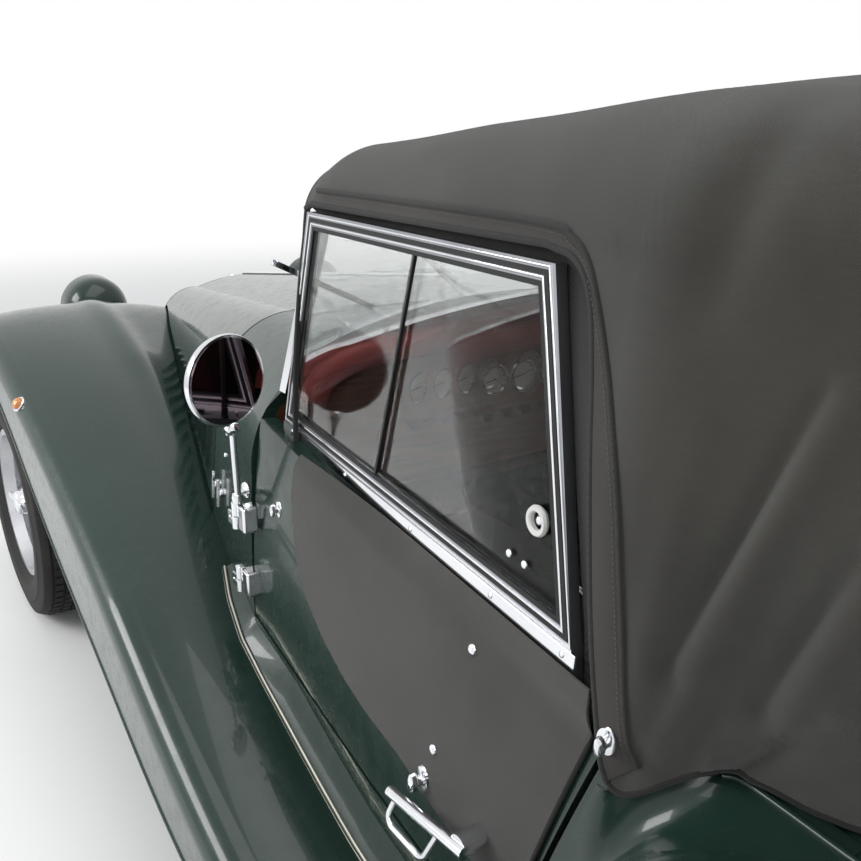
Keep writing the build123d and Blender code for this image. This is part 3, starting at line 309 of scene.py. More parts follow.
def enamel(name, deep, light, gloss=0.22, coat=0.55):
    """Coach paint: two close tones, a little haze where hands polish it and the faintest orange peel."""
    finish = Finish(name, Coat_Weight=coat, Coat_Roughness=0.04, Coat_IOR=1.36, Specular_IOR_Level=0.22)
    cloud = finish.noise(2.1, 4)
    haze = finish.noise(38, 3).between(0.42, 0.7)
    finish.paint(Base_Color=finish.colour(cloud.between(0.3, 0.72), deep, light),
                 Roughness=gloss + 0.08 * haze + 0.05 * cloud)
    return finish.relief(finish.noise(260, 2), 0.00002).material


def metal(name, colour, tint, rough, spread, grain=90.0, depth=0.00003, metallic=1.0):
    """Plated or bare metal with smears and fine wear in its roughness."""
    finish = Finish(name, Metallic=metallic)
    smear = finish.noise(grain, 4)
    patch = finish.noise(9, 3)
    finish.paint(Base_Color=finish.colour(patch.between(0.35, 0.7), colour, tint),
                 Roughness=rough + spread * smear + 0.4 * spread * patch)
    return finish.relief(smear, depth).material


def cloth(name, dark, light, thread=0.0012, fuzz=0.25, uv=True):
    """Woven cloth: crossing threads, uneven dye and dust that settles in the weave."""
    finish = Finish(name, Sheen_Weight=fuzz, Sheen_Roughness=0.5, Specular_IOR_Level=0.2)
    pattern = finish.cut() if uv else finish.place()
    across, along, _ = finish.split(pattern)
    turn = 2 * pi / thread
    weave = (across * turn).wave() * (along * turn).wave()
    slub = finish.noise(420, 2, source=pattern, stretch=(1.0, 0.12, 1.0))
    fade = finish.noise(3.2, 5, 0.6)
    fleck = finish.noise(950, 2)
    tone = 0.55 * fade.between(0.3, 0.72) + 0.22 * slub + 0.2 * fleck + 0.08 * weave
    finish.paint(Base_Color=finish.colour(tone, dark, light), Roughness=0.86 + 0.1 * fleck)
    return finish.relief(0.6 * weave + 0.5 * slub + 0.4 * fleck, 0.0005, 0.8).material


def hide(name, dark, light):
    """Grained leather with a soft worn sheen."""
    finish = Finish(name, Specular_IOR_Level=0.45)
    cells = finish.grain(330, feature="DISTANCE_TO_EDGE").between(0.0, 0.12)
    wear = finish.noise(7, 4)
    finish.paint(Base_Color=finish.colour(wear.between(0.3, 0.75), dark, light),
                 Roughness=0.42 + 0.2 * wear - 0.06 * cells)
    return finish.relief(cells + 0.5 * finish.noise(60, 3), 0.0006, 0.6).material


def rubber(name, colour, dusty, scale=160.0, rough=0.72):
    finish = Finish(name, Specular_IOR_Level=0.3)
    dust = finish.noise(12, 5).between(0.35, 0.8)
    finish.paint(Base_Color=finish.colour(dust, colour, dusty), Roughness=rough + 0.14 * dust)
    return finish.relief(finish.noise(scale, 3), 0.0002, 0.6).material


def timber(name, dark, light, coat=0.6):
    finish = Finish(name, Coat_Weight=coat, Coat_Roughness=0.08)
    rings = finish.noise(14, 5, stretch=(1.0, 12.0, 12.0))
    pores = finish.noise(260, 2, stretch=(0.3, 4.0, 4.0))
    finish.paint(Base_Color=finish.colour((0.8 * rings + 0.3 * pores).between(0.35, 0.75), dark, light),
                 Roughness=0.3 + 0.2 * pores)
    return finish.relief(pores, 0.0002, 0.5).material


def clear(name, tint, rough=0.0, ior=1.45, body=0.42):
    """Glass with the faint smears of a wiped pane."""
    finish = Finish(name, Transmission_Weight=1.0, IOR=ior, Specular_IOR_Level=0.3)
    smear = finish.noise(22, 4, stretch=(1.0, 1.0, 2.4)).between(0.5, 0.85)
    finish.paint(Base_Color=finish.colour(smear, tint, tuple(0.97 * channel for channel in tint)),
                 Roughness=rough + 0.03 * smear, Alpha=body + 0.12 * smear)
    return finish.material


def lamp_glass(name, colour, bright):
    """Coloured moulded lens with a fine fluting."""
    finish = Finish(name, Transmission_Weight=0.35, IOR=1.49, Coat_Weight=0.6)
    across, _, up = finish.split(finish.place())
    flutes = (across * 1400).wave() * (up * 1400).wave()
    finish.paint(Base_Color=finish.colour(0.5 + 0.5 * flutes, colour, bright), Roughness=0.16 + 0.05 * flutes)
    return finish.relief(flutes, 0.0004, 0.7).material


GREEN_DEEP, GREEN_LIGHT = (0.0105, 0.0255, 0.0195), (0.0165, 0.0355, 0.028)
PAINT = enamel("coach_green", GREEN_DEEP, GREEN_LIGHT)
CHROME = metal("chrome_plate", (0.80, 0.81, 0.83), (0.72, 0.73, 0.76), 0.05, 0.10)
SILVER = metal("silver_wheel_paint", (0.52, 0.53, 0.55), (0.44, 0.45, 0.47), 0.24, 0.14)
DARK_PAINT = enamel("frame_black", (0.012, 0.012, 0.013), (0.022, 0.021, 0.020), 0.42, 0.2)
IRON = metal("cast_iron", (0.10, 0.10, 0.105), (0.07, 0.065, 0.06), 0.5, 0.25, 45, 0.0004, metallic=0.6)
STEEL = metal("exhaust_steel", (0.42, 0.40, 0.38), (0.30, 0.26, 0.22), 0.32, 0.25, 30, 0.0001)
HOOD_CLOTH = cloth("hood_duck", (0.0165, 0.0157, 0.0133), (0.052, 0.0492, 0.042))
BINDING = cloth("edge_binding", (0.010, 0.009, 0.009), (0.030, 0.028, 0.026), 0.0009, 0.15, uv=False)
PALE_PIPING = cloth("pale_piping", (0.085, 0.075, 0.066), (0.16, 0.145, 0.13), 0.0009, 0.15, uv=False)
CARPET = cloth("floor_carpet", (0.010, 0.010, 0.011), (0.035, 0.034, 0.034), 0.003, 0.4, uv=False)
LEATHER = hide("red_leather", (0.115, 0.018, 0.017), (0.19, 0.034, 0.029))
FACING = cloth("facing_cloth", (0.019, 0.0165, 0.014), (0.044, 0.038, 0.032), 0.0012, 0.2)
# The dash roll's leather is much brighter than the seats' leather. This is partly the roll's own maroon and partly
# painted light, making up for the dim light that reaches it inside the cabin.
DASH_LEATHER_PAINTED_LIGHT = hide("dash_leather_painted_light", (0.30, 0.055, 0.048), (0.42, 0.085, 0.072))
RUBBER = rubber("tyre_rubber", (0.010, 0.010, 0.010), (0.035, 0.033, 0.030))
SEAL = rubber("rubber_seal", (0.008, 0.008, 0.009), (0.022, 0.022, 0.022), 300, 0.55)
DASH_WOOD = timber("dash_walnut", (0.060, 0.022, 0.009), (0.16, 0.065, 0.026))
BOW_WOOD = timber("ash_bow", (0.20, 0.12, 0.06), (0.34, 0.22, 0.12), 0.1)
GLASS = clear("window_glass", (0.93, 0.97, 0.965), ior=1.16)
LENS = clear("headlamp_glass", (0.95, 0.96, 0.96), 0.04, body=0.85)
# The mirror's face is a dark maroon grey rather than bright silver: a painted dark reflection.
MIRROR_PAINTED_REFLECTION = metal("mirror_painted_reflection", (0.20, 0.155, 0.175), (0.17, 0.135, 0.155), 0.02, 0.04, 20, 0.00001)
REFLECTOR = metal("lamp_reflector", (0.74, 0.75, 0.77), (0.68, 0.69, 0.72), 0.06, 0.05, 40, 0.00001)
RAIL_METAL = metal("screen_rail_metal", (0.36, 0.37, 0.39), (0.28, 0.29, 0.31), 0.22, 0.14)
AMBER = lamp_glass("amber_lens", (0.62, 0.17, 0.01), (0.80, 0.30, 0.03))
RED = lamp_glass("red_lens", (0.42, 0.006, 0.006), (0.62, 0.02, 0.014))
BEAD = metal("pale_bead", (0.52, 0.50, 0.44), (0.42, 0.41, 0.36), 0.28, 0.12)
BLACK = rubber("black_moulding", (0.009, 0.009, 0.009), (0.02, 0.02, 0.02), 200, 0.45)
PLATE = enamel("blank_plate", (0.55, 0.55, 0.53), (0.60, 0.60, 0.58), 0.3, 0.3)
DIAL = enamel("dial_face", (0.55, 0.53, 0.46), (0.62, 0.60, 0.52), 0.4, 0.2)

# Mesh makers


def shown(name, data):
    """A new object in the scene."""
    made = bpy.data.objects.new(name, data)
    bpy.context.scene.collection.objects.link(made)
    return made


def solid(name, points, faces, finish, body="car_body", smooth=True, slot=None, corner=40.0):
    """One piece from its points in mm and its faces, riding on a body."""
    mesh = bpy.data.meshes.new(name)
    mesh.from_pydata([tuple(float(c) * MM for c in p) for p in points], [], [list(f) for f in faces])
    work = bmesh.new()
    work.from_mesh(mesh)
    bmesh.ops.remove_doubles(work, verts=work.verts, dist=1e-6)
    bmesh.ops.recalc_face_normals(work, faces=work.faces)
    for edge in work.edges:
        if len(edge.link_faces) == 2 and edge.calc_face_angle(0) > radians(corner):
            edge.smooth = False
    for face in work.faces:
        face.smooth = smooth
    work.to_mesh(mesh)
    work.free()
    piece = shown(name, mesh)
    mesh.materials.append(finish)
    if body:
        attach(piece, body)
    return piece


def mirrored(points, sign):
    return np.asarray(points, float) * np.array([sign, 1, 1])


def grid_faces(rows, columns, wrap_rows=False, wrap_columns=False, start=0):
    faces = []
    for a in range(rows if wrap_rows else rows - 1):
        for c in range(columns if wrap_columns else columns - 1):
            b, d = (a + 1) % rows, (c + 1) % columns
            faces.append([start + row * columns + column for row, column in ((a, c), (a, d), (b, d), (b, c))])
    return faces


def skin(points, thickness):
    """A grid of points made into a closed sheet, its second face set back by a thickness."""
    points = np.asarray(points, float)
    rows, columns = points.shape[:2]
    along, across = np.gradient(points, axis=0), np.gradient(points, axis=1)
    normal = np.cross(along, across)
    normal /= np.maximum(np.linalg.norm(normal, axis=2, keepdims=True), 1e-9)
    back = points - normal * thickness
    count = rows * columns
    faces = grid_faces(rows, columns) + [face[::-1] for face in grid_faces(rows, columns, start=count)]
    border = ([(0, c) for c in range(columns)] + [(r, columns - 1) for r in range(1, rows)]
              + [(rows - 1, c) for c in range(columns - 2, -1, -1)] + [(r, 0) for r in range(rows - 2, 0, -1)])
    ring = [r * columns + c for r, c in border]
    for first, second in zip(ring, ring[1:] + ring[:1]):
        faces.append([first, second, second + count, first + count])
    return np.vstack([points.reshape(-1, 3), back.reshape(-1, 3)]), faces


def swept(path, profile, closed=False, up=(0.0, 0.0, 1.0)):
    """A profile, drawn across and upwards, carried along a path."""
    path, profile = np.asarray(path, float), np.asarray(profile, float)
    ahead = np.roll(path, -1, axis=0) - np.roll(path, 1, axis=0)
    if not closed:
        ahead[0], ahead[-1] = path[1] - path[0], path[-1] - path[-2]
    ahead /= np.linalg.norm(ahead, axis=1, keepdims=True)
    rise = np.asarray(up, float)
    points = []
    for place, direction in zip(path, ahead):
        rise = rise - direction * np.dot(rise, direction)
        rise /= np.linalg.norm(rise)
        across = np.cross(direction, rise)
        points += [place + across * x + rise * y for x, y in profile]
    size = len(profile)
    faces = grid_faces(len(path), size, closed, True)
    if not closed:
        last = (len(path) - 1) * size
        faces += [list(range(size))[::-1], [last + index for index in range(size)]]
    return np.array(points), faces


def rod(path, radius, count=10, flat=1.0, **more):
    """A round bar along a path, or an oval one whose height is the radius times flat."""
    angles = np.arange(count) * 2 * pi / count
    return swept(path, np.column_stack([radius * np.cos(angles), radius * flat * np.sin(angles)]), **more)


def lathed(profile, centre, axis, count):
    """A closed outline of (along, radius) turned about an axis through a centre."""
    axis = Vector(axis).normalized()
    side = axis.orthogonal().normalized()
    other = axis.cross(side)
    points = []
    for turn in np.arange(count) * 2 * pi / count:
        spoke = side * cos(turn) + other * sin(turn)
        points += [Vector(centre) + axis * along + spoke * radius for along, radius in profile]
    faces = grid_faces(count, len(profile), True, profile[0][1] > 0 or profile[-1][1] > 0)
    return np.array([tuple(p) for p in points]), faces


def disc(profile, count):
    """The same about the third axis, ready to be placed."""
    return lathed(profile, (0, 0, 0), AHEAD, count)


def joined(*parts):
    """Several shapes as one."""
    points, faces, start = [], [], 0
    for part_points, part_faces in parts:
        points.append(np.asarray(part_points, float))
        faces += [[index + start for index in face] for face in part_faces]
        start += len(part_points)
    return np.vstack(points), faces


def bar_box(low, high):
    (x0, y0, z0), (x1, y1, z1) = low, high
    points = [(x, y, z) for x in (x0, x1) for y in (y0, y1) for z in (z0, z1)]
    return np.array(points, float), [[0, 1, 3, 2], [4, 6, 7, 5], [0, 4, 5, 1], [2, 3, 7, 6], [0, 2, 6, 4], [1, 5, 7, 3]]


def settle(piece):
    """Turns a piece's modifiers into plain mesh."""
    bpy.context.view_layer.update()
    mesh = bpy.data.meshes.new_from_object(piece.evaluated_get(bpy.context.evaluated_depsgraph_get()))
    piece.modifiers.clear()
    piece.data = mesh
    return piece


def smoothed(piece):
    for face in piece.data.polygons:
        face.use_smooth = True


def soften(piece, width, segments=2):
    """Rounds a piece's sharp edges."""
    bevel = piece.modifiers.new("edge", "BEVEL")
    bevel.width, bevel.segments, bevel.limit_method, bevel.angle_limit = width, segments, "ANGLE", radians(35)
    smoothed(settle(piece))
    return piece


# Repeated pieces, by geometry nodes


class Tree:
    """A geometry node tree with named inputs."""

    def __init__(self, name, inputs):
        self.group = bpy.data.node_groups.new(name, "GeometryNodeTree")
        face = self.group.interface
        face.new_socket("Geometry", in_out="INPUT", socket_type="NodeSocketGeometry")
        for title, kind, value in inputs:
            face.new_socket(title, in_out="INPUT", socket_type="NodeSocket" + kind).default_value = value
        face.new_socket("Geometry", in_out="OUTPUT", socket_type="NodeSocketGeometry")
        self.inputs = self.group.nodes.new("NodeGroupInput")

    def take(self, title):
        return self.inputs.outputs[title]

    def node(self, kind, settings=None, sockets=None, output=0):
        made = self.group.nodes.new(kind)
        for key, value in (settings or {}).items():
            setattr(made, key, value)
        for key, value in (sockets or {}).items():
            if isinstance(value, bpy.types.NodeSocket):
                self.group.links.new(value, made.inputs[key])
            else:
                made.inputs[key].default_value = value
        return made.outputs[output]

    def close(self, geometry, finish):
        real = self.node("GeometryNodeRealizeInstances", sockets={0: geometry})
        painted = self.node("GeometryNodeSetMaterial", sockets={0: real, "Material": finish})
        output = self.group.nodes.new("NodeGroupOutput")
        self.group.links.new(painted, output.inputs[0])
        return self

    def grow(self, piece, **values):
        """Runs the tree on a piece and keeps the result as plain mesh."""
        modifier = piece.modifiers.new("repeat", "NODES")
        modifier.node_group = self.group
        sockets = {item.name: item.identifier for item in self.group.interface.items_tree if item.in_out == "INPUT"}
        for title, value in values.items():
            modifier[sockets[title.replace("_", " ")]] = value
        return settle(piece)


def turned_copies(finish):
    """Copies of the piece's own mesh, spaced evenly about the X axis."""
    tree = Tree("turned_copies", [("Count", "Int", 12)])
    dots = tree.node("GeometryNodePoints", sockets={"Count": tree.take("Count")})
    index = tree.node("GeometryNodeInputIndex")
    share = tree.node("ShaderNodeMath", {"operation": "DIVIDE"}, {0: index, 1: tree.take("Count")})
    angle = tree.node("ShaderNodeMath", {"operation": "MULTIPLY"}, {0: share, 1: 2 * pi})
    turn = tree.node("ShaderNodeCombineXYZ", sockets={0: angle})
    copies = tree.node("GeometryNodeInstanceOnPoints",
                       sockets={"Points": dots, "Instance": tree.take("Geometry"), "Rotation": turn})
    return tree.close(copies, finish)


def strung_stitches(finish):
    """Short stitches laid end to end along the piece's own line of edges."""
    tree = Tree("strung_stitches", [("Pitch", "Float", 0.005), ("Length", "Float", 0.0034),
                                    ("Thickness", "Float", 0.0009)])
    line = tree.node("GeometryNodeMeshToCurve", sockets={0: tree.take("Geometry")})
    even = tree.node("GeometryNodeResampleCurve", {"mode": "LENGTH"}, {0: line, "Length": tree.take("Pitch")})
    tangent = tree.node("GeometryNodeInputTangent")
    lay = tree.node("FunctionNodeAlignRotationToVector", {"axis": "X"}, {"Vector": tangent})
    bead = tree.node("GeometryNodeMeshUVSphere", sockets={"Segments": 6, "Rings": 4, "Radius": 0.5})
    size = tree.node("ShaderNodeCombineXYZ", sockets={0: tree.take("Length"), 1: tree.take("Thickness"),
                                                      2: tree.take("Thickness")})
    copies = tree.node("GeometryNodeInstanceOnPoints",
                       sockets={"Points": even, "Instance": bead, "Rotation": lay, "Scale": size})
    return tree.close(copies, finish)


def stitched(name, path):
    """A row of stitches in the hood along a path in mm."""
    mesh = bpy.data.meshes.new(name)
    mesh.from_pydata([tuple(np.asarray(p) * MM) for p in path], [(i, i + 1) for i in range(len(path) - 1)], [])
    piece = shown(name, mesh)
    strung_stitches(PALE_PIPING).grow(piece)
    smoothed(piece)
    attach(piece, "car_body")
    return piece


# CAD nodes that keep their shape

KEPT = {
    PAINT: "scuttle body_tub radiator_cowl lamps bonnet_* door_* front_wing_* rear_wing_*",
    CHROME: "grille_slats bumpers mirrors windscreen_frame door_handle_*",
    RAIL_METAL: "side_screen_*",
    SILVER: "wheel_front_* wheel_rear_*",
    DARK_PAINT: "chassis_frame fuel_tank",
    IRON: "front_axle rear_axle engine_block knuckle_*",
    STEEL: "exhaust",
    CARPET: "floor_pan",
    DASH_WOOD: "dashboard",
    BOW_WOOD: "hood_frame",
    GLASS: "fixed_glass side_panes_*",
    LENS: "lamp_lenses",
    BLACK: "steering_wheel",
    RUBBER: "spare_wheel tyre_front_* tyre_rear_*",
    LEATHER: "seats",
    HOOD_CLOTH: "hood_fabric door_flap_*",
}
for finish, names in KEPT.items():
    for node in [name.replace("*", side) for name in names.split() for side in ("left", "right")[:1 + ("*" in name)]]:
        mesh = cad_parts[node].data
        mesh.materials.clear()
        mesh.materials.append(finish)

# Places on the CAD's own surfaces

TREES = {}


def hit(nodes, start, direction):
    """Where a ray, given in mm, first meets one of the nodes, and the surface's normal there."""
    best = None
    for node in nodes:
        if node not in TREES:
            mesh = (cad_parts.get(node) or bpy.data.objects[node]).data
            TREES[node] = BVHTree.FromPolygons([v.co for v in mesh.vertices], [list(f.vertices) for f in mesh.polygons])
        place, normal, _, distance = TREES[node].ray_cast(Vector(start) * MM, Vector(direction))
        if place is not None and (best is None or distance < best[2]):
            best = (np.array(place) / MM, np.array(normal), distance)
    return best and best[:2]


def from_left(nodes, y, z):
    return hit(nodes, (1200, y, z), (-1, 0, 0))


def from_above(nodes, x, y):
    return hit(nodes, (x, y, 2000), (0, 0, -1))


def placed(shape, centre, normal=(1, 0, 0)):
    """A shape drawn flat, its third axis pointing outwards, set down at a place with its second axis upwards."""
    out = np.asarray(normal, float) / np.linalg.norm(normal)
    rise = np.array([0, 0, 1.0]) - out * out[2]
    rise /= np.linalg.norm(rise)
    side = np.cross(rise, out)
    points, faces = shape
    return np.asarray(centre, float) + points @ np.array([side, rise, out]), faces


def both_sides(name, shape, finish, body="car_body", **more):
    """The left piece and its mirror image. The body "door" is each side's own door."""
    return [solid(f"{name}_{side}", mirrored(shape[0], sign), shape[1], finish,
                  f"door_body_{side}" if body == "door" else body, **more) for side, sign in SIDES]


def button(radius, height, count=20):
    """A low domed stud."""
    return disc([(0, 0), (0, radius), (height * 0.3, radius), (height * 0.75, radius * 0.8), (height, radius * 0.4),
                 (height, 0)], count)


def turn_button(size):
    """A turn-button fastener: an oval plate, a post and the bar turned across it."""
    plate = disc([(0, 0), (0, 10), (1.6, 9.4), (2.2, 7), (2.2, 0)], 24)
    post = disc([(0, 0), (0, 4), (7, 4), (8, 3), (8, 0)], 16)
    bar = disc([(6, 0), (6, 5.5), (8, 7), (11, 6.4), (12.4, 4), (12.8, 0)], 20)
    bar = (bar[0] * np.array([0.62, 1.25, 1.0]), bar[1])
    points, faces = joined((plate[0] * np.array([0.8, 1.15, 1.0]), plate[1]), post, bar)
    return points * size, faces


# Wings


def wing_line(row):
    """A left wing's section as points from where it leaves the body to the foot of its skirt."""
    y, z, tilt, inner, outer, drop, skirt = row
    flat = np.vstack([arc((inner, -drop), (outer - 0.42 * (outer - inner), 0), (outer - 45, -11.25), 90),
                      arc((outer - 45, -11.25), (outer - 9, -27.9), (outer, -54), 14)[1:],
                      np.linspace((outer, -54), (outer, -max(skirt, 57)), 7)[1:]])
    ridge = np.interp(y, (-1700, -1450, -1000, -720, -540), (0, 9, 14, 9, 0))
    ridge_x = np.interp(y, (-1430, -1200, -900, -510), (452, 454, 466, 515))
    flat[:, 1] += ridge * np.exp(-((flat[:, 0] - ridge_x) / 34) ** 2)
    line = np.column_stack([flat[:, 0], y - sin(radians(tilt)) * flat[:, 1], z + cos(radians(tilt)) * flat[:, 1]])
    under = np.interp(y, (-440, -415), (24, 2))
    beyond = [x - body_x(py, pz) + under for x, py, pz in line[:88]]
    first = max([index for index, reach in enumerate(beyond) if reach < 0], default=-1)
    if first >= 0 and first < 87:
        share = -beyond[first] / (beyond[first + 1] - beyond[first])
        line = np.vstack([line[first] + share * (line[first + 1] - line[first]), line[first + 1:]])
    top = len(line) - 19
    return np.vstack([resampled(line[:top], 46)[:-1], line[top - 1:]])


WING_LINES = {end: np.array([wing_line(row) for row in splined(table, 15)])
              for end, table in (("front", FRONT_WING), ("rear", REAR_WING))}
for end, lines in WING_LINES.items():
    skins = both_sides(f"{end}_wing_skin", skin(lines[::-1], 6), PAINT, slot="wing_paint", corner=50)
    for piece, (side, _) in zip(skins, SIDES):
        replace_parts(piece, f"{end}_wing_{side}")

# Hood

# Folds in the hood's side as (y, z) from and to, depth and width in mm
HOOD_FOLDS = [
    ((738, 880), (815, 1122), -11.0, 9.0),
    ((752, 885), (830, 1115), 10.0, 16.0),
    ((736, 800), (782, 925), 7.0, 11.0),
    ((800, 862), (852, 1005), -12.0, 11.0),
    ((816, 862), (870, 1000), 8.0, 18.0),
    ((716, 790), (742, 1080), 4.0, 13.0),
    ((905, 1180), (1150, 880), 4.5, 38.0),
    ((735, 1180), (742, 1300), -8.0, 22.0),
    ((708, 752), (726, 792), -5.0, 8.0),
    ((745, 770), (775, 860), -4.0, 10.0),
    ((760, 760), (842, 866), -9.0, 8.0),
]
# Crease over the rear wing as (y, z), under which the hood's side tucks in
TUCK = np.array([(762, 786), (790, 812), (820, 842), (856, 874), (900, 905), (980, 935), (1080, 940), (1228, 890)])


def fold_height(y, z):
    """How far the hood's folds lift the cloth at a place on its side."""
    height = 0.0
    for start, end, depth, width in HOOD_FOLDS:
        a, b = np.array(start, float), np.array(end, float)
        share = float(np.clip(np.dot([y, z] - a, b - a) / np.dot(b - a, b - a), 0, 1))
        reach = np.linalg.norm([y, z] - (a + share * (b - a)))
        height += depth * (0.25 + 0.75 * np.sin(pi * min(0.9, 0.2 + 0.75 * share))) * np.exp(-(reach / width) ** 2)
    if y > TUCK[0, 0]:
        below = np.interp(y, TUCK[:, 0], TUCK[:, 1]) - z
        height += 4.0 * np.exp(-(below / 9) ** 2) - 0.28 * np.clip(below, 0, 46)
    return height


def hood_line(y):
    """Half of the hood's outline at a station, from its low edge up to its crown."""
    return arch_half(eased(HOOD_SECTIONS, y, max(0.0, min(22, y * 0.5, (1236 - y) * 0.5))), HOOD_LOW_Z)


def hood_rows():
    """The hood's cloth as rows of points: pulled over the bows, dipping between them, folded at its rear corners."""
    dense = np.concatenate([np.linspace(2, 560, 50), np.linspace(565, 716, 44), np.linspace(720, 1000, 62),
                            np.linspace(1008, 1228, 30)])
    rows = []
    for y in dense:
        fine = resampled(hood_line(y), 400)
        low = np.interp(y, HOOD_EDGE[:, 0], HOOD_EDGE[:, 1])
        edge_x = np.interp(low, fine[:200, 1], fine[:200, 0])
        half = resampled(np.vstack([[edge_x, low], fine[fine[:, 1] > low + 0.5]]), 96)
        dip = 0.0
        for front, rear in ((46, 330), (330, 620), (620, 850), (850, 1228)):
            if front < y < rear:
                dip = 3.5 * np.sin(pi * (y - front) / (rear - front)) ** 1.5
        line = []
        for x, z in half:
            crowned = np.clip((520 - x) / 140, 0, 1)
            sideways = np.clip((x - 340) / 90, 0, 1) * np.clip((y - 650) / 50, 0, 1)
            line.append((x + fold_height(y, z) * sideways, y, z - dip * crowned))
        line = np.array(line)
        rows.append(np.vstack([line, mirrored(line, -1)[::-1][1:]]))
    return np.array(rows)


def woven(piece):
    """The cloth's flat pattern, its threads level and upright on the sides and lengthways and crossways on top."""
    layer = piece.data.uv_layers.new(name="cut")
    for face in piece.data.polygons:
        steep, rear = abs(face.normal.x) > 0.72, abs(face.normal.y) > 0.6
        for index in face.loop_indices:
            point = piece.data.vertices[piece.data.loops[index].vertex_index].co
            layer.data[index].uv = (point.z, point.y) if steep else (point.x, point.z) if rear else (point.x, point.y)
    return piece


def hood_back_y(x, z):
    """Station at which the hood's back reaches this height, as far out as x."""
    stations = np.linspace(960, 1228, 60)
    heights = []
    for y in stations:
        top = hood_line(y)[-30:]
        heights.append(np.interp(abs(x), top[::-1, 0], top[::-1, 1]))
    return float(np.interp(-z, -np.array(heights), stations))


# Rear window: half width, height of its foot and head, radius of its corners
HOOD_WINDOW = (240, 985, 1125, 36)


def window_outline(grow, step=12):
    """The rear window's outline seen from behind, as (x, z)."""
    half, low, high, corner = HOOD_WINDOW
    corner, half, low, high = corner + grow, half + grow, low - grow, high + grow
    points = []
    for x, z, start in ((half - corner, high - corner, 0), (corner - half, high - corner, 90),
                        (corner - half, low + corner, 180), (half - corner, low + corner, 270)):
        points += [(x + corner * cos(radians(a)), z + corner * sin(radians(a)))
                   for a in np.linspace(start, start + 90, 9)]
    return resampled(np.array(points + points[:1]), int((4 * half + 2 * (high - low)) / step))[:-1]


cloth_rows = hood_rows()
hood = solid("hood_cloth", *skin(cloth_rows[::-1], 3.0), HOOD_CLOTH, corner=60)
gap = window_outline(0)
count = len(gap)
gap_points = np.array([(x, y, z) for y in (900, 1400) for x, z in gap])
gap_faces = [[i, (i + 1) % count, count + (i + 1) % count, count + i] for i in range(count)]
gap_faces += [list(range(count))[::-1], list(range(count, 2 * count))]
cutter = solid("window_cutter", gap_points, gap_faces, HOOD_CLOTH)
opening_cut = hood.modifiers.new("window", "BOOLEAN")
opening_cut.object, opening_cut.solver = cutter, "EXACT"
settle(hood)
bpy.data.objects.remove(cutter)
woven(hood)
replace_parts(hood, "hood_fabric")

window_ring = np.array([(x, hood_back_y(x, z) + 1.6, z) for x, z in window_outline(5)])
binding_shape = rod(window_ring, 3.2, 8, 0.8, closed=True, up=(0, 1, 0.8))
window_binding = solid("hood_window_binding", *binding_shape, BINDING)
seam_ring = np.array([(x, hood_back_y(x, z) + 1.8, z) for x, z in window_outline(16, 6)])
hood_trim = [window_binding]

edge = np.array([row[0] for row in cloth_rows])
opening, hem = edge[edge[:, 1] < 701], edge[edge[:, 1] > 697]
hood_trim += both_sides("hood_welt", rod(rounded(resampled(opening, 60), 8) + np.array([0.6, 0, 0]), 4.6,
                                         up=(1, 0, 0.1)), BINDING)

# Seam behind the opening's edge as (y, z), where the facing inside the cloth is sewn down
HOOD_SEAM = rounded([(40, 1206), (300, 1211), (551, 1214), (596, 1206), (618, 1190), (636, 1162), (654, 1125),
                     (671, 1080), (690, 1010), (701, 940), (708, 884), (715, 818), (722, 772)], 10)


def on_hood(y, z, lift):
    place, normal = from_left(["hood_cloth"], y, z)
    return place + normal * lift


def facing_band():
    """Left strip of facing cloth from the opening's edge back to the seam."""
    inner = resampled(opening[:, 1:], 90)
    outer = resampled(HOOD_SEAM[:, :2], 90)
    rows = []
    for (y0, z0), (y1, z1) in zip(inner[4:], outer[4:]):
        rows.append([on_hood(y0 + (y1 - y0) * t, z0 + (z1 - z0) * t, 0.9) for t in np.linspace(0.1, 1, 6)])
    return skin(np.array(rows), 1.4)


seam_line = rounded([on_hood(y, z, 0.5) for y, z in HOOD_SEAM], 8)
facings = both_sides("hood_facing", facing_band(), FACING, corner=60)
hood_trim += [woven(piece) for piece in facings]
hood_trim += both_sides("hood_seam", rod(seam_line, 3.4, 10, 0.7, up=(1, 0, 0.1)), BINDING)
hood_trim += both_sides("hood_hem", rod(rounded(resampled(hem, 70), 10) + np.array([0.8, 0, 0]), 4.0,
                                        up=(1, 0, 0.1)), BINDING)
header_line = np.array([(x, 3.0, z) for x, z in resampled(hood_line(3), 90)[8:]])
header_line = np.vstack([header_line, mirrored(header_line, -1)[::-1][1:]])
header_welt = rod(rounded(resampled(header_line, 80), 10), 4.2, up=(0, -1, 0))
hood_trim.append(solid("hood_header_welt", *header_welt, BINDING))


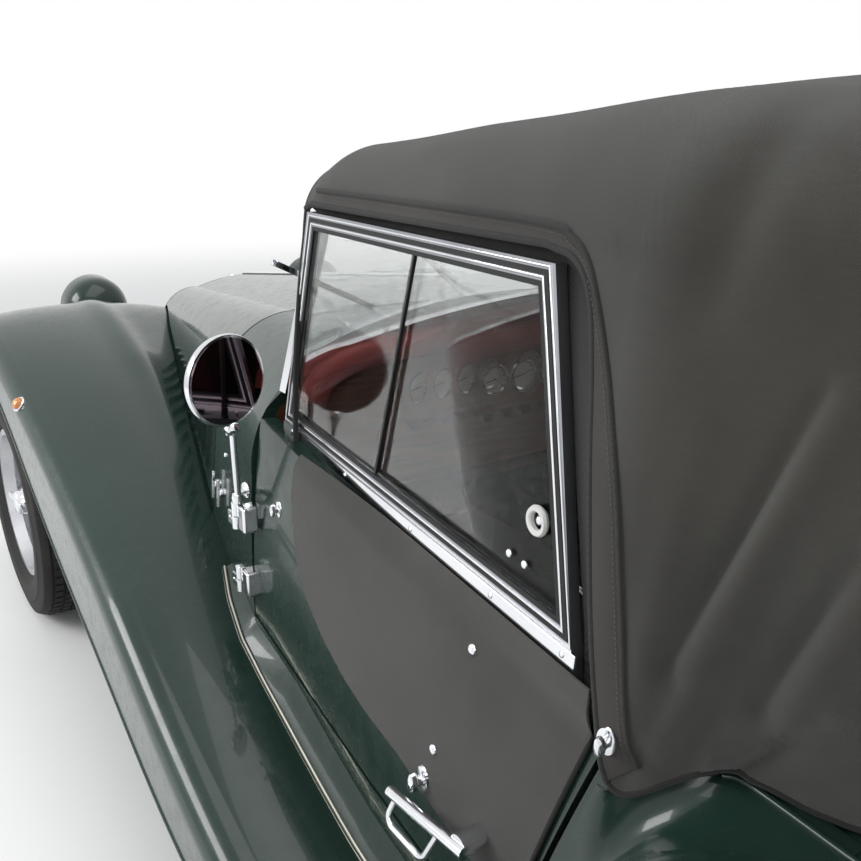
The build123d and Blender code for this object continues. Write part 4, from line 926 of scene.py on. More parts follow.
def draught_strip():
    """Left cloth strip under the edge of the hood's opening, closing the space round the side screen."""
    centre = np.array([330.0, 930.0])
    inner_line = np.array([(36, 1170), (566, 1174), (640, 866), (650, 800), (664, 742)], float)
    outer_line = opening[:, 1:]
    start = np.arctan2(*(outer_line[0] - centre)[::-1])
    end = np.arctan2(*(outer_line[-1] - centre)[::-1])

    def crossing(line, angle):
        direction = np.array([cos(angle), sin(angle)])
        flat = np.array([-direction[1], direction[0]])
        for a, b in zip(line, line[1:]):
            fa, fb = np.dot(a - centre, flat), np.dot(b - centre, flat)
            if fa * fb <= 0 and fa != fb:
                share = fa / (fa - fb)
                place = a + share * (b - a)
                if np.dot(place - centre, direction) > 0:
                    return place
        return line[-1] if angle < 0 else line[0]

    rows = []
    for angle in np.linspace(start, end, 90):
        outer, inner = crossing(outer_line, angle), crossing(inner_line, angle)
        away = (outer - inner) / max(np.linalg.norm(outer - inner), 1e-6)
        outer = outer + away * 9
        outer_x = np.interp(min(outer[0], 700), opening[:, 1], opening[:, 0]) - 7.5
        inner_x = side_point(*inner, -9)[0]
        rows.append([(inner_x + (outer_x - inner_x) * t - 3 * sin(pi * t), *(inner + (outer - inner) * t))
                     for t in np.linspace(0, 1, 8)])
    return skin(np.array(rows), 2.2)


both_sides("draught_strip", draught_strip(), BINDING, corner=60)

corner_place, corner_normal = from_left(["hood_cloth"], 700, 792)
both_sides("hood_turn_button", placed(turn_button(1.25), corner_place + corner_normal * 1.5, corner_normal), CHROME)

# Door flaps


def flap_rows():
    """Left cloth flap hung from the side screen's rail over the door's outside."""
    stations = np.concatenate([np.linspace(56, 130, 20), np.linspace(138, 590, 58), np.linspace(596, 676, 18)])
    rows = []
    for y in stations:
        low, high = np.interp(y, FLAP_EDGE[:, 0], FLAP_EDGE[:, 1]), np.interp(y, (0, 654), (850, 829))
        top = door_top(y)
        line = []
        for z in np.linspace(low, high, 40):
            outer, inner = tub_x(y, min(z, top)) + 4.2, side_point(y, z, 6)[0] + 3.2
            share = np.clip((z - (top - 16)) / 42, 0, 1)
            share = share * share * (3 - 2 * share)
            loose = np.clip((high - z) / 90, 0, 1) * np.clip((z - low) / 60, 0, 1)
            ripple = 1.6 * sin(y / 47 + z / 150) + 1.1 * sin(y / 19 - z / 61) * np.clip((y - 480) / 90, 0, 1)
            line.append((outer * (1 - share) + inner * share + ripple * loose + 0.6, y, z))
        rows.append(line)
    return np.array(rows)


flap_grid = flap_rows()
border = rounded(resampled(flap_grid[:, 0], 50), 8)
flap_border = rod(border - np.array([0.6, 0, 0]), 2.6, 8, up=(1, 0, 0.1))
flaps = both_sides("door_flap_cloth", skin(flap_grid[:, ::-1], 2.4), HOOD_CLOTH, "door", corner=60)
flap_bindings = both_sides("door_flap_binding", flap_border, BINDING, "door")
for (side, _), flap, binding in zip(SIDES, flaps, flap_bindings):
    woven(flap)
    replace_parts(flap, f"door_flap_{side}")


def on_flap(shape, y, z):
    place, normal = from_left(["door_flap_cloth_left"], y, z)
    return placed(shape, place, normal)


fasteners = [on_flap(button(6.5, 4.5), y, z) for y, z in ((502, 778), (459, 635))]
fasteners += [on_flap(turn_button(1.55), 440, 583), placed(turn_button(1.1), (597, 42, 768), (1, 0, 0.05))]
both_sides("flap_fasteners", joined(*fasteners), CHROME, "door")

# Side screens


def inset(corners, distance):
    """Four corners moved inwards, so that each side shifts by the distance."""
    corners = np.asarray(corners, float)
    moved = []
    for index, place in enumerate(corners):
        before, after = corners[index - 1], corners[(index + 1) % len(corners)]
        a, b = (before - place) / np.linalg.norm(before - place), (after - place) / np.linalg.norm(after - place)
        moved.append(place + (a + b) * distance / max(abs(a[0] * b[1] - a[1] * b[0]), 0.2))
    return np.array(moved)


def frame_band(outward, out, width, depth):
    """A flat strip round the side screens' opening, its outer edge a distance outside the opening."""
    corners = inset(SIDE_OPENING, -outward)
    ring = [*corners, *inset(corners, width)]
    points = [side_point(y, z, level) for level in (out, out + depth) for y, z in ring]
    faces = []
    for index in range(4):
        after = (index + 1) % 4
        a, b, c, d = index, after, 4 + after, 4 + index
        faces += [[a, b, c, d], [a + 8, d + 8, c + 8, b + 8], [a, a + 8, b + 8, b], [d, c, c + 8, d + 8]]
    return np.array(points), faces


def screen_slab(corners, out, depth):
    """A flat slab over four corners of the side screens' plane."""
    points = np.array([side_point(y, z, level) for level in (out, out + depth) for y, z in corners])
    return points, [[0, 1, 2, 3], [7, 6, 5, 4], [0, 4, 5, 1], [1, 5, 6, 2], [2, 6, 7, 3], [3, 7, 4, 0]]


def strip_on_screen(start, end, width, out, depth):
    """A flat bar between two places of the side screens' plane."""
    a, b = np.array(start, float), np.array(end, float)
    along = (b - a) / np.linalg.norm(b - a)
    across = np.array([-along[1], along[0]]) * width / 2
    return screen_slab([a - across, b - across, b + across, a + across], out, depth)


seals = joined(frame_band(3, 3.0, 5.5, 3.2), frame_band(3, -6.2, 5.5, 3.2), frame_band(13.5, 5.4, 5.5, 1.4))
for piece in both_sides("screen_seals", seals, SEAL, "door"):
    soften(piece, 0.0004)
ribs = joined(frame_band(7.6, 5.6, 2.6, 1.8), frame_band(17.5, 5.6, 2.2, 1.8))
rail_bar = strip_on_screen((-54, 858), (650, 838), 15, 5.8, 2.4)
for piece in both_sides("screen_brightwork", joined(ribs, rail_bar), CHROME, "door"):
    soften(piece, 0.0006)

# Edge where the two sliding panes overlap, as (y, z) at its foot and its head
PANE_EDGE = ((239, 884), (320, 1160))
foot_front, foot_rear, head_rear, head_front = inset(SIDE_OPENING, -3)
(foot_y, foot_z), (head_y, head_z) = PANE_EDGE
front_pane = screen_slab([foot_front, (foot_y + 5, foot_z - 5), (head_y + 5, head_z + 3), head_front], 0.6, 3)
rear_pane = screen_slab([(foot_y - 5, foot_z - 5), foot_rear, head_rear, (head_y - 5, head_z + 3)], -3.8, 3)
panes = both_sides("sliding_panes", joined(front_pane, rear_pane), GLASS, "door", smooth=False)
for (side, _), piece in zip(SIDES, panes):
    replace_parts(piece, f"side_panes_{side}")
channel = joined(strip_on_screen((foot_y + 4, foot_z - 4), (head_y + 4, head_z + 2), 3.4, 0.2, 4.0),
                 strip_on_screen((foot_y - 4, foot_z - 4), (head_y - 4, head_z + 2), 3.4, -4.2, 4.0))
both_sides("pane_channels", channel, SEAL, "door", smooth=False)
knob = placed(disc([(0, 9), (0, 14.5), (3, 15.5), (6, 14), (6, 10.5), (4.5, 9)], 32),
              side_point(573, 945, -0.6), SCREEN_OUT)
both_sides("pane_knob", knob, PLATE, "door")
catch = [placed(button(4.6, 3), side_point(y, z, -0.7), SCREEN_OUT) for y, z in ((529, 893), (555, 892), (573, 945))]
catch += [placed(button(3.4, 1.8, 12), side_point(y, 856.5 - 0.0284 * y, 8.0), SCREEN_OUT)
          for y in (-20, 165, 345, 514, 632)]
both_sides("screen_screws", joined(*catch), CHROME, "door")

# Doors, hinges, mirrors

HINGE_X, HINGE_Y = 606, -98
fixed, moving = [], []
for z in (601, 710):
    low = z - 21.5
    fixed += [bar_box((572, HINGE_Y - 30.6, low - 0.6), (HINGE_X - 1.4, HINGE_Y - 7.4, z - 0.8)),
              bar_box((HINGE_X - 6.6, HINGE_Y - 30.6, low - 0.6), (HINGE_X + 1.6, HINGE_Y, z - 0.8)),
              lathed([(0, 0), (0, 6), (0.8, 7.1), (21, 7.1), (21.2, 0)], (HINGE_X, HINGE_Y, low - 0.7), AHEAD, 24)]
    moving += [bar_box((HINGE_X - 26.6, HINGE_Y + 13.4, z + 0.8), (HINGE_X + 1.6, HINGE_Y + 34.6, z + 22.1)),
               bar_box((HINGE_X - 3.6, HINGE_Y, z + 0.8), (HINGE_X + 1.6, HINGE_Y + 34.6, z + 22.1)),
               lathed([(0, 0), (0.2, 7.1), (21, 7.1), (21.9, 6), (21.9, 0)], (HINGE_X, HINGE_Y, z + 0.3), AHEAD, 24)]
    fixed += [placed(button(2.6, 1.4, 12), (HINGE_X + 1.6, HINGE_Y - y, z - 11)) for y in (14, 24)]
    moving += [placed(button(2.6, 1.4, 12), (HINGE_X + 1.6, HINGE_Y + y, z + 11)) for y in (14, 26)]
soften(both_sides("hinge_leaves", joined(*fixed), CHROME)[0], 0.0006)
both_sides("door_hinge_straps", joined(*moving), CHROME, "door")
covers = [bar_box((HINGE_X - 22, HINGE_Y + 14, z - 20), (HINGE_X + 3.4, HINGE_Y + 36, z + 22.4)) for z in (601, 710)]
for piece in both_sides("hinge_covers", joined(*covers), CHROME, "door"):
    soften(piece, 0.004, 4)

MIRROR_AT, MIRROR_AIM = (619, -63.5, 936), (-0.284, 0.959, 0)
mirror_parts = joined(
    placed(disc([(0, 63.6), (0, 67.8), (-5, 69.2), (-13, 66), (-17, 54), (-19, 32), (-20, 0), (-12.6, 0), (-12.6, 66.0),
                 (-0.5, 66.0), (-0.5, 63.6)], 64), MIRROR_AT, MIRROR_AIM),
    lathed([(-11, 0), (-11, 5), (-8, 9), (0, 12.5), (8, 9), (11, 5), (11, 0)], (614, -70, 862), AHEAD, 28),
    rod(rounded([(614, -70, 860), (612, -74, 822), (609, -80, 778), (606, -86, 748)], 8), 5.2, 14),
    lathed([(-12, 0), (-12, 8), (-4, 9.5), (2, 8), (4, 0)], (606, -88, 747), AHEAD, 28),
    rod([(606, -88, 741), (600, -104, 741), (583, -114, 741)], 6, 12),
    lathed([(-3, 0), (-3, 13), (1, 12), (3, 8), (3, 0)], (584, -114, 741), (1, 0, 0), 24))
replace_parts(both_sides("mirror_body", mirror_parts, CHROME)[0], "mirrors")
# The mirror's face carries the painted dark reflection.
both_sides("mirror_face", placed(disc([(0.4, 0), (0.4, 64), (1.4, 64), (2.4, 32), (2.8, 0)], 64),
                                 MIRROR_AT, MIRROR_AIM), MIRROR_PAINTED_REFLECTION)

escutcheon = placed(disc([(0, 14), (0, 23), (2.5, 22), (4.5, 17), (5, 14)], 40), (tub_x(552, 589) + 0.5, 552, 589))
both_sides("handle_plate", escutcheon, CHROME, "door")


def door_trim():
    """Left door's trim panel, inside the door."""
    rows = []
    for y in np.linspace(-70, 600, 40):
        low = 560 if y < 480 else 560 + (y - 480) * 0.1
        rows.append([(tub_x(y, z) - 35.5 - 1.2 * abs(sin(pi * y / 96)) ** 0.4, y, z)
                     for z in np.linspace(low, door_top(y) - 14, 20)])
    return skin(np.array(rows), 3.0)


both_sides("door_trim", door_trim(), LEATHER, "door", corner=60)

# Beads, catches and lamps on the bodywork

BODY_LEFT = ["bonnet_left", "scuttle", "door_left", "body_tub"]


def wing_root(wing, stations, start_z, gaps):
    """The line where the left wing meets the body, a little out from the body's side."""
    line, z = [], start_z
    for y in stations:
        place = None
        for _ in range(4):
            beside = [found for lift in (8, 16, 30, 50, 80, 120) if (found := from_left(BODY_LEFT, y, z + lift))]
            x = beside and beside[0][0][0] + np.interp(y, *gaps)
            below = beside and from_above([wing], x, y)
            if below:
                place, z = (x, y, below[0][2] + 1), below[0][2]
        if place:
            line.append(place)
    return np.array(line)


root = wing_root("front_wing_skin_left", np.linspace(-260, 560, 58), 545, ((-260, -180, 0, 600), (14, 24, 28, 26)))
root = rounded(resampled(root, 46), 10)
bead = joined(rod(root, 2.6, 8), rod(root + np.array([5.5, 0, -1.2]), 1.5, 8))
both_sides("wing_bead", bead, BEAD)


def sill_flare():
    """Left strip of bodywork that slopes out from under the door to the bead on the wing."""
    rows = []
    for x, y, z in root:
        rise = float(np.interp(y, (-260, -160, -95), (2, 19, 22)))
        if y > -95:
            rise = min(44.0, np.interp(y, *DOOR_FOOT) - 9 - z)
        found = from_left(BODY_LEFT, y, z + rise)
        side = min(found[0][0], x)
        rows.append([(side + 0.3 + (x + 0.2 - side) * (t + 0.16 * t * (1 - t)), y, z + rise - (rise + 3) * t)
                     for t in np.linspace(0, 1, 10)])
    return skin(np.array(rows[::-1]), 1.6)


both_sides("sill_flare", sill_flare(), PAINT, corner=60)

# Upper edge of the bodywork behind the door, under the hood's hem, and its lower edge, on the body and then on the wing
QUARTER_TOP = rounded([(595, 689, 737), (591, 701, 739), (584, 713, 744), (575, 725, 750), (565, 737, 757),
                       (554, 749, 763), (540, 759, 767), (528, 768, 768), (520, 779, 768), (518, 791, 767),
                       (518, 804, 767), (520, 824, 768), (522, 844, 769), (524, 863, 770), (527, 885, 771.5)], 9)
QUARTER_FOOT = [(0, 646), (0, 672), (617, 702), (622, 722), (627, 742), (631, 762), (632, 790), (630, 820),
                (620, 850), (600, 885)]


def rear_quarter():
    """Left panel that carries the body's side round into the rear wing."""
    foot = []
    for x, y in QUARTER_FOOT:
        if x:
            foot.append(from_above(["rear_wing_skin_left"], x, y)[0] + np.array([0, 0, 0.6]))
        else:
            foot.append(np.array([tub_x(y, 600) + 0.8, y, 600]))
    foot, top = resampled(rounded(foot, 9), 40), resampled(QUARTER_TOP, 40)
    # Its front edge stands 7 mm behind the door
    front = [(DOOR_FOOT[0][1] + (z - DOOR_FOOT[1][1]) * DOOR_LEAN + 7, z) for z in np.linspace(737, 600, 18)]
    front = [np.array([tub_x(y, z) + 0.8, y, z]) for y, z in front]
    rows = np.array([[a + (b - a) * t + np.array([12 * t * (1 - t), 0, 0]) for t in np.linspace(0, 1, 18)]
                     for a, b in zip(top, foot)])
    rows[0] = front
    for turn in range(364):
        rows[1:-1, 1:-1] = (rows[:-2, 1:-1] + rows[2:, 1:-1] + rows[1:-1, :-2] + rows[1:-1, 2:]) / 4
        if turn % 60 == 59:
            for place in rows.reshape(-1, 3):
                _, y, z = place
                place[0] = max(place[0], tub_x(y, z) + 0.9 + 3.2 * exp(-((y - 701) / 13) ** 2))
    ledge = [rows[:, :1] - np.array([inward, 0, drop]) for inward, drop in ((26, 5), (13, 1.5))]
    return skin(np.concatenate(ledge + [rows], axis=1)[::-1], 2.0)


both_sides("rear_quarter", rear_quarter(), PAINT, corner=60)
rear_line = [place for place in resampled(QUARTER_TOP, 60) if 766 < place[1] < 880]
rear_root = wing_root("rear_wing_skin_left", np.linspace(900, 1500, 42), 760,
                      ((890, 960, 1060, 1250, 1500), (64, 54, 32, 8, 4)))
rear_root = rounded(np.vstack([np.array(rear_line)[::3] + np.array([0, 0, 1]), resampled(rear_root, 30)]), 10)
both_sides("rear_wing_bead", rod(rear_root, 3.2), PAINT, slot="wing_paint")
skirt = rounded(resampled(WING_LINES["front"][:, -1] + np.array([0.5, 0, 4]), 120), 14)
both_sides("wing_edge_bead", rod(skirt - np.array([1.0, 0, 0]), 3.2, 8), PAINT, slot="wing_paint")

place, normal = from_left(["front_wing_skin_left"], -920, 704)
repeater = placed(disc([(-2, 0), (-2, 17), (2, 17.5), (4, 15.5), (4, 0)], 32), place, normal)
both_sides("repeater_rim", repeater, CHROME)
both_sides("repeater_lens", placed(disc([(3, 0), (3, 14), (8, 12.5), (12, 8), (13.5, 0)], 32), place, normal), AMBER)

catches = []
for y in (-384, -338):
    place, normal = from_left(["scuttle"], y, 648)
    catches.append(placed(joined(disc([(0, 0), (0, 8), (5, 8), (6, 6), (6, 0)], 20),
                                 bar_box((-4, -26, 6), (4, 26, 11))), place, normal))
for y, z in ((-320, 725), (-313, 767)):
    place, normal = from_left(["scuttle"], y, z)
    catches.append(placed(button(5, 3), place, normal))
for piece in both_sides("bonnet_catches", joined(*catches), CHROME):
    soften(piece, 0.0008)

spine = np.array([(0, y, np.interp(y, (-1430, -420), (852.5, 984.5))) for y in np.linspace(-1428, -424, 20)])
hinge_strip = swept(spine, [(-9, 0), (9, 0), (8, 1.6), (3, 3.2), (-3, 3.2), (-8, 1.6)])
solid("bonnet_spine", *hinge_strip, CHROME)
cap_z = from_above(["radiator_cowl"], 0, -1520)[0][2]
cap = lathed([(-4, 0), (-4, 26), (2, 28), (8, 27), (10, 33), (17, 34), (20, 30), (22, 12), (26, 10), (27, 0)],
             (0, -1520, cap_z), AHEAD, 48)
solid("filler_cap", *cap, CHROME)

LAMP_AT, TAIL_AT = (370, -1768, 742), (640, 1650, 520)
FORWARDS, REARWARDS = (0, -1, 0), (0, 1, 0)
shell = lathed([(-1767, 90.2), (-1767, 91.5), (-1735, 92), (-1704, 90.8), (-1684, 86.5), (-1664, 77), (-1648, 62),
                (-1638, 44), (-1632, 22), (-1630, 0), (-1634, 0), (-1644, 40), (-1672, 72), (-1702, 88), (-1767, 88)],
               (LAMP_AT[0], 0, LAMP_AT[2]), (0, 1, 0), 72)
both_sides("headlamp_shell", shell, PAINT, slot="wing_paint", corner=50)
for name, outline, count, where, facing, finish in (
        ("headlamp_rim", [(-8, 84), (-8, 92), (0, 93), (7, 91), (9, 86), (6, 83)], 72, LAMP_AT, FORWARDS, CHROME),
        ("headlamp_dish", [(-15.6, 0), (-15.6, 20), (-14, 50), (-9, 76), (-6, 82.5), (-15.8, 82.5), (-15.9, 0)], 72,
         LAMP_AT, FORWARDS, REFLECTOR),
        ("headlamp_glass", [(-5.4, 0), (-5.4, 82), (-2, 82), (5, 60), (10, 30), (12, 0)], 72, LAMP_AT, FORWARDS, LENS),
        ("tail_lens", [(0, 0), (0, 31), (3, 31), (8, 26), (11, 14), (12, 0)], 40, TAIL_AT, REARWARDS, RED),
        ("tail_rim", [(-6, 30.5), (-6, 35.5), (1, 35.5), (3, 33), (3, 30.5)], 40, TAIL_AT, REARWARDS, CHROME)):
    parts = both_sides(name, placed(disc(outline, count), where, facing), finish)
    if name == "headlamp_glass":
        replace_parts(parts[0], "lamp_lenses")

for end, y, (back, front), (near, far) in (("front", -1977, (2, 5), (5, 10)), ("rear", 1975, (-4, -1), (-9, -4))):
    plate = bar_box((-258, y - 1, 400), (258, y + 2, 508))
    soften(solid(f"number_plate_{end}", *plate, PLATE), 0.0012)
    holder = [bar_box((-263, y + back, 398), (263, y + front, 513))]
    holder += [bar_box((x, y + near, 396), (x + 24, y + far, 500)) for x in (-120, 96)]
    soften(solid(f"plate_holder_{end}", *joined(*holder), BLACK), 0.001)

# Wipers, on the scuttle's crown at the foot of the raked windscreen
wipers = []
for x in (-330, -20, 290):
    z = 948 + 36 * (1 - (abs(x) / 410) ** 2)
    screen_y = (z - 866) * 0.3677 - 94
    pivot, tip = np.array([x, screen_y - 30, z - 2]), np.array([x + 200, screen_y + 26, z + 108])
    blade = [tip + np.array([-105, -14, -52]), tip + np.array([70, 9, 34])]
    wipers += [lathed([(-6, 0), (-6, 9), (4, 9), (8, 6), (8, 0)], pivot, (0, -0.7, 0.7), 20),
               rod(resampled([pivot + np.array([0, -6, 4]), tip + np.array([0, -12, 4])], 12), 2.2, 8),
               swept(resampled(blade, 10), [(-2.4, -4), (2.4, -4), (2.4, 4), (-2.4, 4)])]
solid("wipers", *joined(*wipers), CHROME)

# Wheels and tyres

WHEELS = {"front_left": (655, -1345, 1), "front_right": (-655, -1345, -1),
          "rear_left": (665, 1145, 1), "rear_right": (-665, 1145, -1)}
SIDEWALL = [(64.5, 190.3), (64.5, 200), (70, 205), (77, 213), (82, 222), (83, 222.6), (83.6, 224.4), (84.4, 226),
            (86.6, 240), (87.2, 250), (86.8, 262), (87.2, 263), (87.2, 266), (86.2, 267), (84.4, 280), (81.5, 290),
            (80.6, 296), (76, 302), (66, 307), (62, 308.5), (61, 304.5), (56, 304.5), (55, 309.6), (36, 310.8),
            (35, 305.6), (30, 305.6), (29, 311.2), (12, 311.6), (11, 306), (6, 306), (5, 311.8)]
CARCASS = SIDEWALL + [(-x, r) for x, r in SIDEWALL[::-1]]
TREAD_PITCHES = 72


def tread_blocks(name, matrix, body):
    """Raised tread blocks and shoulder lugs, one pitch of them repeated round the tyre."""
    pitch = [bar_box((-4.4, -8.5, 309), (4.4, 8.5, 314.4))]
    for side in (-1, 1):
        for x0, x1, turn, low, high in ((13, 28, 0.018, 308, 314.0), (37, 54, -0.018, 306.5, 312.6),
                                        (63, 79, 0.0, 300, 307.8)):
            points, faces = bar_box((side * x0, -9.5, low), (side * x1, 9.5, high))
            if x0 == 63:
                points[:, 2] -= (np.abs(points[:, 0]) - x0) * 0.5
            (x, y, z), c, s = points.T, cos(turn), sin(turn)
            pitch.append((np.column_stack([x, y * c - z * s, y * s + z * c]), faces))
    piece = solid(name, *joined(*pitch), RUBBER, None, smooth=False)
    turned_copies(RUBBER).grow(piece, Count=TREAD_PITCHES)
    piece.data.transform(matrix)
    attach(piece, body)
    return piece


def knock_off():
    """A wheel's centre nut with two ears, about the wheel's own axis."""
    nut = lathed([(44, 0), (44, 38), (50, 38.5), (54, 35), (60, 33), (72, 30.6), (76, 26), (78, 12), (79, 0)],
                 (0, 0, 0), (1, 0, 0), 48)
    ears = []
    for side in (-1, 1):
        line = [(66, side * 24, 0), (71, side * 42, 0), (74, side * 60, 0), (74, side * 68, 0)]
        ears.append(rod(rounded(line, 6), 9.4, 14, 0.55, up=(1, 0, 0)))
    return joined(nut, *ears)


for wheel, (x, y, sign) in WHEELS.items():
    matrix = Matrix.Translation((x * MM, y * MM, AXLE_Z * MM)) @ Matrix.Diagonal((sign, 1, 1, 1))
    body = "{}_wheel_{}".format(*wheel.split("_"))
    hub = np.array([x, y, AXLE_Z])
    points, faces = lathed(CARCASS, (0, 0, 0), (1, 0, 0), 128)
    carcass = solid(f"tyre_carcass_{wheel}", mirrored(points, sign) + hub, faces, RUBBER, body, corner=50)
    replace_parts(carcass, f"tyre_{wheel}")
    tread_blocks(f"tyre_tread_{wheel}", matrix, body)
    points, faces = knock_off()
    solid(f"wheel_nut_{wheel}", mirrored(points, sign) + hub, faces, CHROME, body)

# Spare wheel: its own axis points out of the sloping tail, and it is scaled down in width, tyre and rim
SPARE_WIDTH, SPARE_TYRE, SPARE_RIM = 0.82, 0.965, 0.955
tail_line = (np.array([1240.0, 860.0]), np.array([1690.0, 500.0]))
along = (tail_line[1] - tail_line[0]) / np.linalg.norm(tail_line[1] - tail_line[0])
out = np.array([0.0, -along[1], along[0]])
middle = np.array([0.0, *tail_line[0]]) + np.array([0.0, *along]) * 340 + out * 76.3
turn = Matrix(((0, -1, 0), (out[1], 0, -out[2]), (out[2], 0, out[1]))).to_4x4()
seat = Matrix.Translation(Vector(middle) * MM) @ turn


def carried(points):
    return np.array([tuple(seat @ Vector(p * MM)) for p in points]) / MM


small = [(x * SPARE_WIDTH, r * SPARE_TYRE) for x, r in CARCASS]
spare_shape = lathed(small, (0, 0, 0), (1, 0, 0), 128)
spare = solid("spare_tyre", carried(spare_shape[0]), spare_shape[1], RUBBER, corner=50)
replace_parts(spare, "spare_wheel")
tread_blocks("spare_tread", seat @ Matrix.Diagonal((SPARE_WIDTH, SPARE_TYRE, SPARE_TYRE, 1)), "car_body")
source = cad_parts["wheel_rear_left"].data.copy()
x, y, _ = WHEELS["rear_left"]
source.transform(Matrix.Translation((-x * MM, -y * MM, -AXLE_Z * MM)))
source.transform(seat @ Matrix.Diagonal((SPARE_WIDTH, SPARE_RIM, SPARE_RIM, 1)))
spare_rim = shown("spare_rim", source)
work = bmesh.new()
work.from_mesh(source)
bmesh.ops.remove_doubles(work, verts=work.verts, dist=1e-6)
work.to_mesh(source)
work.free()
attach(spare_rim, "car_body")
strap_nut = knock_off()
solid("spare_nut", carried(strap_nut[0] * np.array([0.8, 0.9, 0.9])), strap_nut[1], CHROME)

# Cabin


def pad(name, corners, flutes, depth):
    """A stuffed block drawn into eight corners, with flutes sewn along its upper face."""
    count, squareness = 26, 7.0
    steps = np.linspace(-1, 1, count)
    points, faces = [], []
    for axis in range(3):
        for level in (-1, 1):
            start = len(points)
            for a in steps:
                for b in steps:
                    place = [a, b]
                    place.insert(axis, level)
                    points.append(place)
            faces += grid_faces(count, count, start=start)
    points = np.array(points, float)
    cube = points / (np.sum(np.abs(points) ** squareness, axis=1, keepdims=True) ** (1 / squareness))
    corners = np.asarray(corners, float)
    share = (cube + 1) / 2
    shape = np.zeros_like(cube)
    for index, corner in enumerate(corners):
        weight = np.ones(len(cube))
        for axis in range(3):
            weight *= share[:, axis] if (index >> (2 - axis)) & 1 else 1 - share[:, axis]
        shape += weight[:, None] * corner
    up = np.mean(corners[1::2] - corners[0::2], axis=0)
    up /= np.linalg.norm(up)
    face = np.clip(cube[:, 2] * 1.3 - 0.3, 0, 1) * np.clip((1 - np.abs(cube[:, 1])) * 5, 0, 1)
    seam = (1 - np.abs(np.sin(pi * flutes * share[:, 0]))) ** 2.5
    shape = shape + up * ((depth * 0.5 - depth * seam) * face)[:, None]
    piece = solid(name, shape, faces, LEATHER, corner=70)
    return piece


pads = []
for side, sign in SIDES:
    x0, x1 = (128, 490) if sign > 0 else (-490, -128)
    low = 266
    cushion = [(x, y, z) for x in (x0, x1) for y, z in ((244, low), (248, 432), (676, low), (694, 402))]
    pads.append(pad(f"seat_cushion_{side}", cushion, 7, 9))
    b0, b1 = (128, 410) if sign > 0 else (-410, -128)
    back = [(x, *place) for x in (b0, b1) for place in ((806, 268), (720, 280), (918, 812), (838, 806))]
    pads.append(pad(f"seat_back_{side}", back, 6, 8))
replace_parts(pads[0], "seats")

half_roll = [(492, 886), (479, 911), (455, 931), (415, 944), (344, 952), (277, 956), (207, 965), (80, 984), (0, 987)]
roll_line = [(x, -50, z) for x, z in half_roll] + [(-x, -50, z) for x, z in half_roll[-2::-1]]
roll_shape = rod(rounded(roll_line, 12), 22, 22, 0.92, up=(0, 1, 0))
# The roll's leather is brightened with painted light, for the dim cabin.
solid("dash_roll", *roll_shape, DASH_LEATHER_PAINTED_LIGHT)


def spun(shape, angle):
    """A flat shape turned about its own third axis."""
    (x, y, z), c, s = shape[0].T, cos(radians(angle)), sin(radians(angle))
    return np.column_stack([x * c + y * s, y * c - x * s, z]), shape[1]


dial_bezels, dial_faces, needles = [], [], []
DASH_Y = -101.6
for x, z, radius in ((-392, 838, 44), (-208, 838, 44), (-96, 850, 27), (-30, 850, 27), (36, 850, 27), (102, 850, 27)):
    centre = (x, DASH_Y, z)
    bezel = disc([(0, radius - 3), (0, radius + 4), (4, radius + 3), (6, radius), (5, radius - 3)], 48)
    face = disc([(0.2, 0), (0.2, radius - 2.6), (1.6, radius - 2.6), (1.6, 0)], 48)
    marks = [bar_box((-0.6, radius * 0.74, 1.6), (0.6, radius * 0.9, 2.0))]
    marks += [spun(bar_box((-0.7, radius * 0.74, 1.6), (0.7, radius * 0.9, 2.0)), step * 25) for step in range(-5, 6)]
    marks.append(spun(bar_box((-1.0, -radius * 0.18, 2.2), (1.0, radius * 0.7, 3.0)), -100))
    for parts, part in ((dial_bezels, bezel), (dial_faces, face), (needles, joined(*marks))):
        parts.append(placed(part, centre, REARWARDS))
solid("dial_bezels", *joined(*dial_bezels), CHROME)
solid("dial_faces", *joined(*dial_faces), DIAL)
solid("dial_marks", *joined(*needles), BLACK, smooth=False)
knobs = [placed(disc([(0, 0), (0, 4), (14, 4), (15, 10), (22, 9.4), (24, 6), (24, 0)], 24), (x, DASH_Y, 788), REARWARDS)
         for x in (-96, -52, -8, 36, 80, 124)]
solid("dash_knobs", *joined(*knobs), BLACK)

lever = rounded([(10, 150, 424), (6, 152, 480), (-4, 166, 560), (-6, 176, 606)], 8)
gaiter = lathed([(-8, 0), (-8, 10), (-4, 24), (2, 34), (6, 38), (6, 44), (-10, 44), (-10, 0)], (8, 150, 436), AHEAD, 32)
solid("gear_lever", *joined(rod(lever, 5.5, 14, up=(1, 0, 0)), gaiter), CHROME)
knob = lathed([(-16, 0), (-16, 8), (-10, 16), (0, 19), (9, 16), (15, 8), (16, 0)], (-6, 178, 616), AHEAD, 32)
solid("gear_knob", *knob, BLACK)
brake = rounded([(84, 300, 424), (84, 250, 470), (84, 140, 520), (84, 90, 532)], 8)
solid("hand_brake", *rod(brake, 7, 12, up=(1, 0, 0)), CHROME)
pedals = []
for x in (-390, -300, -210):
    pedals += [rod(rounded([(x, -404, 470), (x, -372, 420), (x, -342, 352)], 8), 6, up=(1, 0, 0)),
               placed(bar_box((-24, -30, 0), (24, 30, 8)), (x, -344, 350), (0, 0.8, 0.6))]
soften(solid("pedals", *joined(*pedals), BLACK), 0.002)

HUB_AT, HUB_AIM = (-300, 165, 800), (0, cos(radians(22)), sin(radians(22)))
boss = placed(disc([(14, 0), (14, 34.5), (17, 34), (20, 28), (22, 12), (22, 0)], 48), HUB_AT, HUB_AIM)
solid("horn_boss", *boss, CHROME, "steering_body")
grip = disc([(13 * sin(a), 190 + 13 * cos(a)) for a in np.linspace(0, 2 * pi, 25)[:-1]], 96)
solid("wheel_grip", *placed(grip, HUB_AT, HUB_AIM), BLACK, "steering_body")
